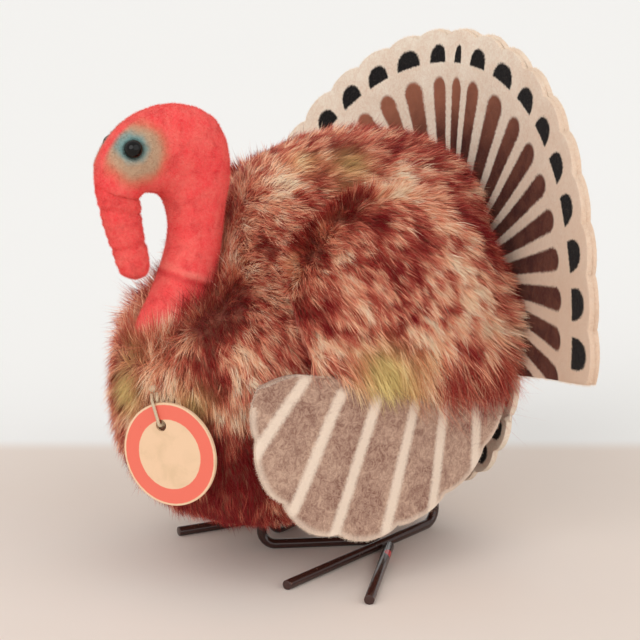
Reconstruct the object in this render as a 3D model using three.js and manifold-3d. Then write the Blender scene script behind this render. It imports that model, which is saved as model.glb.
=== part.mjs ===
// A small standing plush turkey: mohair body, red velvet head and neck, felt wings and tail fan,
// painted wire feet and a round card tag on a thread.
// Millimetres, +Z up. The bird faces -Y and its left side is +X.

import * as THREE from 'three';
import { mergeVertices } from 'three/addons/utils/BufferGeometryUtils.js';
import Module from 'manifold-3d';

const wasm = await Module();
wasm.setup();

// Clearances that all pieces share
const seatGap = 0.3;
const cutOverrun = 2;
const wrapGap = 0.45;

// Body: reaches are measured from the datum line between the feet
const bodyHeight = 105.5;
const bellyHeight = 9;
const chestReach = 58;
const bodyHalfWidth = 34.5;
const mohairThickness = 4;
const chestRoundness = 2.1;
const rumpRoundness = 4.2;

// Tail fan: the centre of its circle, its size and its curve
const tailReach = 44.1;
const tailHeight = 56.7;
const fanRadius = 84;
const fanRootRadius = 6;
const fanRootDrop = 12.7;
const fanLean = 2.5 * THREE.MathUtils.DEG2RAD;
const fanHalfAngle = 88.5 * THREE.MathUtils.DEG2RAD;
const fanCup = 17.8;
const fanScallops = 19;
const scallopDepth = 2.2;
const feltThickness = 1.6;
const stiffenerThickness = 0.6;
const stiffenerInset = 7;

// Small felt under the fan
const underTailRadius = 38.5;
const underTailDrop = 6.2;
const underTailScallops = 9;

// Head and neck: one velvet tube that rises from the body and hooks forward
const neckRise = 63.8;
const neckFootHeight = 60;
const headReach = 64;
const neckHalfDepth = 6.9;
const headHalfDepth = 11.7;
const headHalfWidth = 7.4;
const headRoundness = 2.3;
const velvetThickness = 1;
const snoodHalfDepth = 5.4;
const snoodHalfWidth = 4.5;
const snoodDrop = 22.3;

// Glass bead eyes and their wire, on the head's section of the given count
const eyeRadius = 2.4;
const eyeStand = -0.45;
const eyeAngle = 62 * THREE.MathUtils.DEG2RAD;
const eyeSectionCount = 4;
const eyeWireRadius = 0.4;

// Wire down the neck, from behind the chest to the head's section of the given count
const neckWireRadius = 0.8;
const neckWireFootHeight = 30;
const neckWireInset = 22;
const neckWireSectionCount = 5;

// Wings: a mohair shoulder over a half round flap of two felts
const wingStandOff = 5;
const wingHingeHeight = 54.5;
const wingHingeForward = 1.2;
const wingSlope = 9.5 * THREE.MathUtils.DEG2RAD;
const wingRadius = 42;
const wingLobes = 7;
const wingLobeDepth = 1.3;
const wingFrontCurl = 4.5;
const wingRearCurl = 4;
const wingFlare = 1.5;
const liningInset = 1.2;
const shoulderHalfLength = 36;
const shoulderHeight = 51;
const shoulderInset = 14.5;
const shoulderHalfThickness = 20;
const shoulderBehind = 6.5;
const shoulderRoundness = 2.5;

// Feet: painted wire, laid on the table
const wireRadius = 1.35;
const wireFlat = 0.12;
const wireBendRadius = 4;
const legTopHeight = 47;
const leftAnkleOffset = 12.6;
const leftAnkleReach = 18.3;
const rightAnkleOffset = 21.2;
const rightAnkleReach = 18.2;
const middleToeLength = 46.7;
const outerToeLength = 48.6;
const rearToeLength = 20.5;
const leftInnerToeLength = 36;
const rightInnerToeLength = 26.5;
const leftToeTurns = { middle: 20.6, outer: 49.4, inner: -25 };
const rightToeTurns = { middle: -4, outer: -49, inner: 23 };

// Card tag on its thread
const tagRadius = 13.3;
const tagThickness = 0.8;
const tagHoleRadius = 1.5;
const tagHoleOffset = 7.6;
const tagTurn = 31 * THREE.MathUtils.DEG2RAD;
const tagTilt = 18 * THREE.MathUtils.DEG2RAD;
const tagClearance = 2;
const tagOffset = 11.2;
const tagCentreHeight = 38.2;
const threadRadius = 0.4;
const threadHang = 9.5;
const knotRadius = 1;

// Facets
const bodySides = 32;
const neckSides = 20;
const snoodSides = 16;
const wireSides = 8;
const threadSides = 6;
const bendSteps = 4;
const scallopSteps = 4;
const fanDownSteps = 5;
const wingDownSteps = 4;
const underTailDownSteps = 3;
const cutterDownSteps = 2;
const ballSides = 14;
const ballRings = 10;
const tagSides = 20;
const chestHalvings = 30;

// Shares along the body from the belly up: height, front, rear, half width
const bodyShares = [
  [0.02, 0.5, 0.14, 0.41],
  [0.067, 0.72, 0.42, 0.62],
  [0.142, 0.88, 0.68, 0.79],
  [0.237, 0.966, 0.86, 0.91],
  [0.35, 1, 0.97, 0.97],
  [0.464, 0.99, 1, 1],
  [0.54, 0.93, 1, 1],
  [0.597, 0.82, 1, 0.985],
  [0.654, 0.64, 1, 0.956],
  [0.71, 0.52, 1, 0.91],
  [0.787, 0.455, 1, 0.84],
  [0.863, 0.41, 0.97, 0.72],
  [0.92, 0.34, 0.87, 0.55],
  [0.967, 0.2, 0.7, 0.34],
];
const bellyPoleShare = -0.15;
const backPoleShare = 0.24;

// Sections of the neck and head from the foot up: shares of reach and rise, the turn of the crown's
// side from straight back in degrees, shares of half depth and half width. The last two are of the
// neck's half depth in the first table and of the head's half sizes in the second.
const neckShares = [
  [0.655, 0, 0, 1.52, 1.33],
  [0.645, 0.11, 0, 1.49, 1.246],
  [0.609, 0.219, 0, 1.277, 1.145],
  [0.57, 0.361, 0, 1.062, 1.043],
  [0.546, 0.502, 0, 1.004, 1],
  [0.551, 0.611, 0, 1.217, 1.014],
];
const headShares = [
  [0.548, 0.698, 25, 0.899, 0.96],
  [0.586, 0.788, 50, 1.056, 0.986],
  [0.677, 0.825, 75, 1, 1],
  [0.763, 0.814, 98, 0.897, 1],
  [0.829, 0.78, 119.5, 0.782, 0.986],
  [0.886, 0.726, 143, 0.606, 0.9],
  [0.894, 0.654, 165, 0.458, 0.76],
];

// Shares down the snood: reach as a share of the head's, drop, half depth, half width
const snoodShares = [
  [0.891, -0.078, 1.03, 1.02],
  [0.888, 0.056, 1.015, 1],
  [0.88, 0.19, 0.987, 0.94],
  [0.87, 0.37, 0.904, 0.89],
  [0.856, 0.527, 0.869, 0.84],
  [0.842, 0.661, 0.841, 0.81],
  [0.829, 0.818, 0.783, 0.79],
  [0.823, 0.93, 0.64, 0.66],
];
const snoodTipReachShare = 0.82;

// Shares of the flap's radius at even turns around its rim, from the front corner to the rear one,
// and of the rim's reach along the hinge
const wingRimShares = [0.84, 0.95, 1.02, 1.03, 0.99, 0.925, 0.935, 0.98, 1.01];
const wingRootShare = 0.9;

// Shares up the wing's shoulder: height, half thickness, half length
const shoulderShares = [
  [0, 0.79, 0.93],
  [0.12, 0.93, 0.98],
  [0.32, 1, 1],
  [0.55, 0.95, 0.93],
  [0.75, 0.78, 0.76],
  [0.91, 0.5, 0.48],
];

// The smooth curve through four even stations: shares of the outer two at the middle
const midwayOuterShare = -1 / 16;
const midwayInnerShare = 1 / 2 - midwayOuterShare;

const wingHingeReach = bodyHalfWidth + wingStandOff;
const leftAnkle = { across: leftAnkleOffset, behind: leftAnkleReach };
const rightAnkle = { across: -rightAnkleOffset, behind: rightAnkleReach };
const xAxis = new THREE.Vector3(1, 0, 0);

function material(color, roughness, metalness = 0) {
  return new THREE.MeshStandardMaterial({ color, roughness, metalness });
}

const mohairMaterial = material(0x9c5a4a, 0.95);
const velvetMaterial = material(0xd22b27, 0.85);
const stripedFeltMaterial = material(0xd9c4a6, 0.95);
const brownFeltMaterial = material(0x9b8070, 0.95);
const woodWoolMaterial = material(0xc9a869, 0.95);
const cardMaterial = material(0xb08d5b, 0.9);
const paintedWireMaterial = material(0x2c1a17, 0.3, 0.1);
const steelWireMaterial = material(0x8d8d90, 0.4, 0.9);
const glassMaterial = material(0x0b0a0a, 0.1);
const tagMaterial = material(0xe9d7b6, 0.8);
const threadMaterial = material(0xe2d3b4, 0.9);

// A geometry as a solid, and back
function toSolid(geometry) {
  const plain = geometry.clone();
  plain.deleteAttribute('normal');
  plain.deleteAttribute('uv');
  const merged = mergeVertices(plain, 1e-4);
  const vertProperties = new Float32Array(merged.attributes.position.array);
  const triVerts = new Uint32Array(merged.index.array);
  return new wasm.Manifold(new wasm.Mesh({ numProp: 3, vertProperties, triVerts }));
}

function toGeometry(solid) {
  const mesh = solid.getMesh();
  const geometry = new THREE.BufferGeometry();
  geometry.setAttribute('position', new THREE.BufferAttribute(mesh.vertProperties, 3));
  geometry.setIndex(new THREE.BufferAttribute(mesh.triVerts, 1));
  return geometry;
}

function cut(geometry, ...tools) {
  const solid = tools.reduce((rest, tool) => rest.subtract(toSolid(tool)), toSolid(geometry));
  return toGeometry(solid);
}

// A closed skin over rings of equal counts, each turning anticlockwise seen from the last ring,
// with a pole point below the first ring and above the last
function skin(rings, firstPole, lastPole) {
  const sides = rings[0].length;
  const points = [firstPole, ...rings.flat(), lastPole];
  const last = points.length - 1;
  const at = (ring, side) => 1 + ring * sides + (side % sides);
  const index = [];
  for (let side = 0; side < sides; side += 1) {
    index.push(0, at(0, side + 1), at(0, side));
    index.push(last, at(rings.length - 1, side), at(rings.length - 1, side + 1));
  }
  for (let ring = 0; ring + 1 < rings.length; ring += 1) {
    for (let side = 0; side < sides; side += 1) {
      index.push(at(ring, side), at(ring, side + 1), at(ring + 1, side));
      index.push(at(ring, side + 1), at(ring + 1, side + 1), at(ring + 1, side));
    }
  }
  const geometry = new THREE.BufferGeometry().setFromPoints(points);
  geometry.setIndex(index);
  return geometry;
}

function mirrored(geometry) {
  const copy = geometry.clone();
  copy.scale(-1, 1, 1);
  const index = copy.index.array;
  for (let corner = 0; corner < index.length; corner += 3) {
    [index[corner], index[corner + 1]] = [index[corner + 1], index[corner]];
  }
  return copy;
}

// A path through given knots, for tubes whose rings stand only at the knots
class KnotPath extends THREE.Curve {
  constructor(knots) {
    super();
    this.knots = knots;
  }

  getPoint(share, target = new THREE.Vector3()) {
    const place = Math.min(Math.max(share, 0), 1) * (this.knots.length - 1);
    const first = Math.min(Math.floor(place), this.knots.length - 2);
    return target.lerpVectors(this.knots[first], this.knots[first + 1], place - first);
  }

  getPointAt(share, target) {
    return this.getPoint(share, target);
  }

  getTangentAt(share, target = new THREE.Vector3()) {
    const knot = Math.round(share * (this.knots.length - 1));
    const before = this.knots[Math.max(knot - 1, 0)];
    const here = this.knots[knot];
    const after = this.knots[Math.min(knot + 1, this.knots.length - 1)];
    const into = here.clone().sub(before).normalize();
    const onward = after.clone().sub(here).normalize();
    return target.copy(into.add(onward)).normalize();
  }

  getSpacedPoints(steps) {
    return this.getPoints(steps);
  }
}

function tube(knots, radius, sides = wireSides) {
  const section = new THREE.Shape(
    Array.from({ length: sides }, (_, side) => {
      const angle = ((side + 1 / 2) * 2 * Math.PI) / sides;
      return new THREE.Vector2(radius * Math.cos(angle), radius * Math.sin(angle));
    }),
  );
  return new THREE.ExtrudeGeometry(section, {
    steps: knots.length - 1,
    extrudePath: new KnotPath(knots),
  });
}

// Knots of straight runs joined by round bends of the given radius
function bentRun(corners, radius) {
  const knots = [corners[0]];
  for (let i = 1; i + 1 < corners.length; i += 1) {
    const into = corners[i].clone().sub(corners[i - 1]).normalize();
    const onward = corners[i + 1].clone().sub(corners[i]).normalize();
    const turn = into.angleTo(onward);
    const reach = radius * Math.tan(turn / 2);
    const start = corners[i].clone().addScaledVector(into, -reach);
    const inward = onward.clone().addScaledVector(into, -onward.dot(into)).normalize();
    for (let step = 0; step <= bendSteps; step += 1) {
      const angle = (turn * step) / bendSteps;
      knots.push(
        start
          .clone()
          .addScaledVector(into, radius * Math.sin(angle))
          .addScaledVector(inward, radius * (1 - Math.cos(angle))),
      );
    }
  }
  knots.push(corners[corners.length - 1]);
  return knots;
}

// A closed sheet: place(across, down, side) gives its points, side 0 its face and 1 its back
function sheet(place, acrossSteps, downSteps) {
  const points = [];
  const at = (side, i, j) => (side * (acrossSteps + 1) + i) * (downSteps + 1) + j;
  for (const side of [0, 1]) {
    for (let i = 0; i <= acrossSteps; i += 1) {
      for (let j = 0; j <= downSteps; j += 1) {
        points.push(place(i / acrossSteps, j / downSteps, side));
      }
    }
  }
  const index = [];
  const quad = (a, b, c, d) => index.push(a, b, c, a, c, d);
  for (let i = 0; i < acrossSteps; i += 1) {
    for (let j = 0; j < downSteps; j += 1) {
      quad(at(0, i, j), at(0, i, j + 1), at(0, i + 1, j + 1), at(0, i + 1, j));
      quad(at(1, i, j), at(1, i + 1, j), at(1, i + 1, j + 1), at(1, i, j + 1));
    }
    quad(at(0, i, 0), at(0, i + 1, 0), at(1, i + 1, 0), at(1, i, 0));
    quad(at(0, i + 1, downSteps), at(0, i, downSteps), at(1, i, downSteps), at(1, i + 1, downSteps));
  }
  for (let j = 0; j < downSteps; j += 1) {
    quad(at(0, 0, j + 1), at(0, 0, j), at(1, 0, j), at(1, 0, j + 1));
    quad(
      at(0, acrossSteps, j),
      at(0, acrossSteps, j + 1),
      at(1, acrossSteps, j + 1),
      at(1, acrossSteps, j),
    );
  }
  const geometry = new THREE.BufferGeometry().setFromPoints(points);
  geometry.setIndex(index);
  return geometry;
}

// The value at a place, from 0 to 1, along a table of even steps
function shareAt(table, place) {
  const first = Math.min(Math.floor(place * (table.length - 1)), table.length - 2);
  return THREE.MathUtils.lerp(table[first], table[first + 1], place * (table.length - 1) - first);
}

function signedPower(value, power) {
  return Math.sign(value) * Math.abs(value) ** power;
}

// Tail: where the fan's front face lies at a place across and above the fan's centre
function tailFace(across, above) {
  return (
    tailReach + above * Math.sin(fanLean) - fanCup * (across / fanRadius) ** 2 * Math.cos(fanLean)
  );
}

// Body: rings from the belly to the back, drawn in towards the middle by an inset
function bodySkin(inset) {
  const middle = new THREE.Vector3(0, (tailReach - chestReach) / 2, bellyHeight + bodyHeight / 2);
  const drawIn = new THREE.Vector3(
    1 - inset / bodyHalfWidth,
    1 - inset / ((tailReach + chestReach) / 2),
    1 - inset / (bodyHeight / 2),
  );
  const settle = (point) => point.sub(middle).multiply(drawIn).add(middle);
  const rumpAt = (height) => tailFace(0, height - tailHeight) - wrapGap;
  const rings = bodyShares.map(([heightShare, frontShare, rearShare, widthShare]) => {
    const height = bellyHeight + heightShare * bodyHeight;
    const front = -frontShare * chestReach;
    const rear = rearShare * rumpAt(height);
    const centre = (front + rear) / 2;
    const halfLength = (rear - front) / 2;
    return Array.from({ length: bodySides }, (_, side) => {
      const angle = (side * 2 * Math.PI) / bodySides;
      const roundness = 2 / (Math.sin(angle) > 0 ? rumpRoundness : chestRoundness);
      const x = widthShare * bodyHalfWidth * signedPower(Math.cos(angle), roundness);
      const y = centre + halfLength * signedPower(Math.sin(angle), roundness);
      return settle(new THREE.Vector3(x, y, height));
    });
  });
  const belly = settle(new THREE.Vector3(0, bellyPoleShare * chestReach, bellyHeight));
  const back = settle(
    new THREE.Vector3(0, backPoleShare * tailReach, bellyHeight + bodyHeight),
  );
  return skin(rings, belly, back);
}

// Head and neck: the stations of the tube, as centre, way to the crown's side and half sizes
function headStations() {
  const sized =
    (depth, width) =>
    ([reachShare, riseShare, turn, depthShare, widthShare]) => ({
      centre: new THREE.Vector3(0, -reachShare * headReach, neckFootHeight + riseShare * neckRise),
      crownward: new THREE.Vector3(0, 1, 0).applyAxisAngle(xAxis, turn * THREE.MathUtils.DEG2RAD),
      halfDepth: depthShare * depth,
      halfWidth: widthShare * width,
    });
  return [
    ...neckShares.map(sized(neckHalfDepth, neckHalfDepth)),
    ...headShares.map(sized(headHalfDepth, headHalfWidth)),
  ].flatMap((station, at, all) => {
    if (at + 1 === all.length) return [station];
    const within = (i) => all[Math.min(Math.max(i, 0), all.length - 1)];
    const around = [at - 1, at, at + 1, at + 2].map(within);
    return [station, midway(around)];
  });
}

// A section half way between the middle two of four, on the smooth curve through them
function midway([before, first, second, after]) {
  const blend = (key) =>
    first[key]
      .clone()
      .add(second[key])
      .multiplyScalar(midwayInnerShare)
      .addScaledVector(before[key], midwayOuterShare)
      .addScaledVector(after[key], midwayOuterShare);
  const mix = (key) =>
    (first[key] + second[key]) * midwayInnerShare + (before[key] + after[key]) * midwayOuterShare;
  return {
    centre: blend('centre'),
    crownward: blend('crownward').normalize(),
    halfDepth: mix('halfDepth'),
    halfWidth: mix('halfWidth'),
  };
}

function snoodStations() {
  const top = headStations().at(-1).centre.z;
  return snoodShares.map(([reachShare, dropShare, depthShare, widthShare]) => ({
    centre: new THREE.Vector3(0, -reachShare * headReach, top - dropShare * snoodDrop),
    crownward: new THREE.Vector3(0, -1, 0),
    halfDepth: depthShare * snoodHalfDepth,
    halfWidth: widthShare * snoodHalfWidth,
  }));
}

function stationPoint(station, angle, grow) {
  return station.centre
    .clone()
    .addScaledVector(
      station.crownward,
      (station.halfDepth + grow) * signedPower(Math.cos(angle), 2 / headRoundness),
    )
    .addScaledVector(
      xAxis,
      (station.halfWidth + grow) * signedPower(Math.sin(angle), 2 / headRoundness),
    );
}

function stationSkin(stations, grow, sides, firstPole, lastPole) {
  const rings = stations.map((station) =>
    Array.from({ length: sides }, (_, side) =>
      stationPoint(station, (-side * 2 * Math.PI) / sides, grow),
    ),
  );
  return skin(
    rings,
    firstPole ?? stations[0].centre,
    lastPole ?? stations[stations.length - 1].centre,
  );
}

// The same tube with its foot carried on downwards, for cutting
function sunkHeadSkin(stations, grow) {
  const foot = { ...stations[0] };
  foot.centre = foot.centre.clone().add(new THREE.Vector3(0, 0, -cutOverrun));
  return stationSkin([foot, ...stations], grow, neckSides);
}

function headTipPole(stations, grow) {
  const tip = stations[stations.length - 1];
  return tip.centre.clone().add(new THREE.Vector3(0, 0, -grow));
}

function neckWireKnots() {
  const spine = headStations().slice(0, 2 * neckShares.length + neckWireSectionCount);
  const root = new THREE.Vector3(0, neckWireInset - chestReach, neckWireFootHeight);
  return [root, ...spine.map((station) => station.centre)];
}

function eyeSeat() {
  return stationPoint(headStations()[2 * (neckShares.length + eyeSectionCount)], eyeAngle, 0);
}

function eyeCentre() {
  return eyeSeat().add(new THREE.Vector3(eyeStand, 0, 0));
}

function ball(centre, radius) {
  const geometry = new THREE.SphereGeometry(radius, ballSides, ballRings);
  geometry.translate(centre.x, centre.y, centre.z);
  return geometry;
}

function eyeWireKnots(halfLength) {
  const { y, z } = eyeSeat();
  return [new THREE.Vector3(-halfLength, y, z), new THREE.Vector3(halfLength, y, z)];
}

function headCover() {
  const stations = headStations();
  const cavity = sunkHeadSkin(stations.slice(0, -1), -velvetThickness);
  const centre = eyeCentre();
  const dimple = ball(centre, eyeRadius + seatGap);
  return cut(
    stationSkin(stations, 0, neckSides),
    cavity,
    dimple,
    mirrored(dimple),
    tube(eyeWireKnots(centre.x), eyeWireRadius + seatGap),
  );
}

function headStuffing() {
  const stations = headStations();
  const centre = eyeCentre();
  const dimple = ball(centre, eyeRadius + seatGap);
  return cut(
    stationSkin(stations.slice(0, -1), -velvetThickness - seatGap, neckSides),
    tube(neckWireKnots(), neckWireRadius + seatGap),
    tube(eyeWireKnots(centre.x), eyeWireRadius + seatGap),
    dimple,
    mirrored(dimple),
  );
}

function snood() {
  const stations = snoodStations();
  const top = headStations().at(-1).centre.z;
  const tip = new THREE.Vector3(0, -snoodTipReachShare * headReach, top - snoodDrop);
  const head = headStations();
  return cut(
    stationSkin(stations, 0, snoodSides, null, tip),
    stationSkin(head, seatGap, neckSides, null, headTipPole(head, seatGap)),
  );
}

// Feet: toes run from the ankle at a turn from straight ahead, towards the bird's left
function footPoint(ankle, turn, length, height) {
  const angle = turn * THREE.MathUtils.DEG2RAD;
  return new THREE.Vector3(
    ankle.across + length * Math.sin(angle),
    ankle.behind - length * Math.cos(angle),
    height,
  );
}

const wireRest = wireRadius - wireFlat;

function mainWireKnots(ankle, turns) {
  const tip = footPoint(ankle, turns.middle, middleToeLength, wireRest);
  const heel = footPoint(ankle, turns.middle, -rearToeLength, wireRest);
  return bentRun([tip, heel, heel.clone().setZ(legTopHeight)], wireBendRadius);
}

function sideToeStart(ankle, turns, turn, height) {
  const between = Math.abs(turn - turns.middle) * THREE.MathUtils.DEG2RAD;
  const clear = (wireRadius * (1 + Math.cos(between)) + seatGap) / Math.sin(between);
  return footPoint(ankle, turn, clear, height);
}

function outerToeKnots(ankle, turns) {
  return [
    footPoint(ankle, turns.outer, outerToeLength, wireRest),
    sideToeStart(ankle, turns, turns.outer, wireRest),
  ];
}

function innerWireKnots(ankle, turns, length) {
  const front = footPoint(ankle, turns.inner, length, wireRest);
  const start = sideToeStart(ankle, turns, turns.inner, wireRest);
  return bentRun([start, front, front.clone().setZ(legTopHeight)], wireBendRadius);
}

const footWires = {
  left_main_wire: mainWireKnots(leftAnkle, leftToeTurns),
  left_outer_toe: outerToeKnots(leftAnkle, leftToeTurns),
  left_inner_wire: innerWireKnots(leftAnkle, leftToeTurns, leftInnerToeLength),
  right_main_wire: mainWireKnots(rightAnkle, rightToeTurns),
  right_outer_toe: outerToeKnots(rightAnkle, rightToeTurns),
  right_inner_wire: innerWireKnots(rightAnkle, rightToeTurns, rightInnerToeLength),
};

// The table's plane takes a thin flat off the underside of each wire
function footWire(knots) {
  const table = new THREE.BoxGeometry(2 * fanRadius, 2 * fanRadius, wireRadius);
  table.translate(0, 0, -wireRadius / 2);
  return cut(tube(knots, wireRadius), table);
}

function bodyCover() {
  const head = headStations();
  const legs = Object.values(footWires).map((knots) => tube(knots, wireRadius + seatGap));
  return cut(
    bodySkin(0),
    bodySkin(mohairThickness),
    sunkHeadSkin(head, seatGap),
    behindTail(),
    ...legs,
  );
}

function bodyStuffing() {
  const head = headStations();
  const legs = Object.values(footWires).map((knots) => tube(knots, wireRadius + seatGap));
  return cut(
    bodySkin(mohairThickness + wrapGap),
    sunkHeadSkin(head, seatGap),
    tube(neckWireKnots(), neckWireRadius + seatGap),
    ...legs,
  );
}

// Wings: places on the flap by its own axes, along the hinge from front to rear and down from it
function wingPlace(along, down, depth) {
  const share = along / wingRadius;
  const curl = share < 0 ? wingFrontCurl : wingRearCurl;
  const out = wingHingeReach - curl * share ** 2 + wingFlare * (down / wingRadius) - depth;
  return new THREE.Vector3(
    out,
    -wingHingeForward + along * Math.cos(wingSlope) - down * Math.sin(wingSlope),
    wingHingeHeight - along * Math.sin(wingSlope) - down * Math.cos(wingSlope),
  );
}

function wingFelt(depth, inset, lobeDepth) {
  return sheet(
    (across, downShare, side) => {
      const angle = Math.PI * across;
      const lobe = Math.abs(Math.cos(wingLobes * (angle - Math.PI / 2)));
      const edge =
        wingRadius * shareAt(wingRimShares, across) - inset - lobeDepth * (1 - Math.sqrt(lobe));
      const rim = new THREE.Vector2(-edge * Math.cos(angle), edge * Math.sin(angle));
      const root = new THREE.Vector2(rim.x * wingRootShare, 0);
      const spot = root.lerp(rim, downShare);
      return wingPlace(spot.x, spot.y, depth + side * feltThickness);
    },
    wingLobes * scallopSteps,
    wingDownSteps,
  );
}

function wingShoulder() {
  const rings = shoulderShares.map(([heightShare, thickShare, longShare]) => {
    const up = wrapGap + heightShare * shoulderHeight;
    return Array.from({ length: bodySides }, (_, side) => {
      const angle = (side * 2 * Math.PI) / bodySides;
      const along =
        shoulderBehind +
        longShare * shoulderHalfLength * signedPower(Math.sin(angle), 2 / shoulderRoundness);
      const place = wingPlace(0, 0, 0);
      return new THREE.Vector3(
        place.x -
          shoulderInset +
          thickShare *
            shoulderHalfThickness *
            signedPower(Math.cos(angle), 2 / shoulderRoundness),
        place.y + along * Math.cos(wingSlope) + up * Math.sin(wingSlope),
        place.z - along * Math.sin(wingSlope) + up * Math.cos(wingSlope),
      );
    });
  });
  const middleOf = (ring) =>
    ring.reduce((sum, point) => sum.add(point), new THREE.Vector3()).divideScalar(ring.length);
  const top = middleOf(rings.at(-1)).add(
    new THREE.Vector3(0, 0, (1 - shoulderShares.at(-1)[0]) * shoulderHeight),
  );
  return cut(skin(rings, middleOf(rings[0]), top), bodySkin(-wrapGap), behindTail());
}

// All that lies behind the fan's front face, for cutting
function behindTail() {
  return sheet(
    (across, downShare, side) => {
      const x = fanRadius * (2 * across - 1);
      const above = fanRadius * (1 - 2 * downShare);
      return new THREE.Vector3(
        x,
        tailFace(x, above) - wrapGap + side * fanRadius,
        tailHeight + above * Math.cos(fanLean),
      );
    },
    fanScallops + 1,
    cutterDownSteps,
  );
}

// Tail: a fan of scallops, as places by angle from straight up and distance from its centre
function fanFelt(depth, thickness, rimRadius, rimDepth, steps) {
  return sheet(
    (across, downShare, side) => {
      const angle = fanHalfAngle * (2 * across - 1);
      const scallop = Math.abs(Math.cos(fanScallops * Math.PI * (across - 1 / 2)));
      const rim = rimRadius - rimDepth * (1 - Math.sqrt(scallop));
      const spoke = new THREE.Vector2(Math.sin(angle), Math.cos(angle));
      const root = spoke.clone().multiplyScalar(fanRootRadius);
      root.y -= fanRootDrop;
      const { x, y: above } = spoke.multiplyScalar(rim).lerp(root, downShare);
      return new THREE.Vector3(
        x,
        tailFace(x, above) + depth + side * thickness,
        tailHeight + above * Math.cos(fanLean),
      );
    },
    steps,
    fanDownSteps,
  );
}

// The height of the fan's lower edge above its centre
function fanEdge(across) {
  const rootHeight = -fanRootDrop + fanRootRadius * Math.cos(fanHalfAngle);
  const rise = fanRadius * Math.cos(fanHalfAngle) - rootHeight;
  const run = (fanRadius - fanRootRadius) * Math.sin(fanHalfAngle);
  return rootHeight + (rise * Math.max(Math.abs(across) - fanRootRadius, 0)) / run;
}

function underTailFelt() {
  return sheet(
    (across, downShare, side) => {
      const angle = Math.PI * across;
      const scallop = Math.abs(Math.cos(underTailScallops * Math.PI * (across - 1 / 2)));
      const edge = underTailRadius - scallopDepth * (1 - Math.sqrt(scallop));
      const x = -edge * Math.cos(angle);
      const top = fanEdge(x) - wrapGap;
      const low = Math.min(-underTailDrop - edge * Math.sin(angle), top - feltThickness);
      const above = top + (low - top) * downShare;
      return new THREE.Vector3(
        x,
        tailFace(x, above) + side * feltThickness,
        tailHeight + above * Math.cos(fanLean),
      );
    },
    underTailScallops * scallopSteps,
    underTailDownSteps,
  );
}

// Whether a place lies inside the body's cover, for heights between its first and last rings
function insideBody({ x, y, z }) {
  const heightShare = (z - bellyHeight) / bodyHeight;
  const above = bodyShares.findIndex(([share]) => share > heightShare);
  const [low, high] = bodyShares.slice(above - 1, above + 1);
  const place = (heightShare - low[0]) / (high[0] - low[0]);
  const [, frontShare, rearShare, widthShare] = low.map((share, at) =>
    THREE.MathUtils.lerp(share, high[at], place),
  );
  const front = -frontShare * chestReach;
  const rear = rearShare * (tailFace(0, z - tailHeight) - wrapGap);
  const middle = (front + rear) / 2;
  const power = y > middle ? rumpRoundness : chestRoundness;
  const wide = Math.abs(x / (widthShare * bodyHalfWidth)) ** power;
  return wide + Math.abs((y - middle) / (middle - front)) ** power < 1;
}

// Tag: places by its own axes, to its right, up and out from the datum line
const tagOut = new THREE.Vector3(Math.sin(tagTurn), -Math.cos(tagTurn), 0);
const tagRight = new THREE.Vector3(Math.cos(tagTurn), Math.sin(tagTurn), 0);

function tagSpot(right, up, out) {
  const leant = new THREE.Vector2(right, up).rotateAround(new THREE.Vector2(), tagTilt);
  return new THREE.Vector3()
    .addScaledVector(tagRight, leant.x - tagOffset)
    .addScaledVector(tagOut, out)
    .setZ(tagCentreHeight + leant.y);
}

// How far out the chest lies behind a spot of the tag
function chestBehind(right, up) {
  let [inside, outside] = [0, 2 * chestReach];
  for (let halving = 0; halving < chestHalvings; halving += 1) {
    const middle = (inside + outside) / 2;
    if (insideBody(tagSpot(right, up, middle))) inside = middle;
    else outside = middle;
  }
  return inside;
}

// The card hangs clear of the chest's furthest spot behind its rim
const tagStandOff =
  Math.max(
    ...Array.from({ length: tagSides }, (_, side) => {
      const angle = (side * 2 * Math.PI) / tagSides;
      return chestBehind(tagRadius * Math.cos(angle), tagRadius * Math.sin(angle));
    }),
  ) + tagClearance;

function tagPlace(right, up, out) {
  return tagSpot(right, up, tagStandOff + out);
}

function tagCard() {
  const outline = new THREE.Shape().absarc(0, 0, tagRadius, 0, 2 * Math.PI);
  outline.holes.push(new THREE.Path().absarc(0, tagHoleOffset, tagHoleRadius, 0, 2 * Math.PI));
  const geometry = new THREE.ExtrudeGeometry(outline, {
    depth: tagThickness,
    bevelEnabled: false,
    curveSegments: tagSides,
  });
  const places = geometry.attributes.position;
  for (let i = 0; i < places.count; i += 1) {
    const place = tagPlace(places.getX(i), places.getY(i), places.getZ(i) - tagThickness / 2);
    places.setXYZ(i, place.x, place.y, place.z);
  }
  return geometry;
}

const knotUp = tagHoleOffset + threadHang;
const knotOut = chestBehind(0, knotUp) + knotRadius + seatGap - tagStandOff;
const strandOut = tagThickness / 2 + seatGap + threadRadius;

function tagThread() {
  const knotFace = knotUp - knotRadius - seatGap;
  const strands = [
    tagPlace(-threadRadius * 2, knotFace, knotOut),
    tagPlace(-threadRadius * 2, tagRadius + threadRadius * 2, 0),
    tagPlace(0, tagRadius, strandOut),
    tagPlace(0, tagHoleOffset, strandOut),
    tagPlace(0, tagHoleOffset, -strandOut),
    tagPlace(0, tagRadius, -strandOut),
    tagPlace(threadRadius * 2, tagRadius + threadRadius * 2, 0),
    tagPlace(threadRadius * 2, knotFace, knotOut),
  ];
  return tube(strands, threadRadius, threadSides);
}

const turkey = new THREE.Group();

function addPiece(name, geometry, pieceMaterial) {
  const mesh = new THREE.Mesh(geometry, pieceMaterial);
  mesh.name = name;
  turkey.add(mesh);
}

function addPair(name, geometry, pieceMaterial) {
  addPiece(`left_${name}`, geometry, pieceMaterial);
  addPiece(`right_${name}`, mirrored(geometry), pieceMaterial);
}

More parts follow.
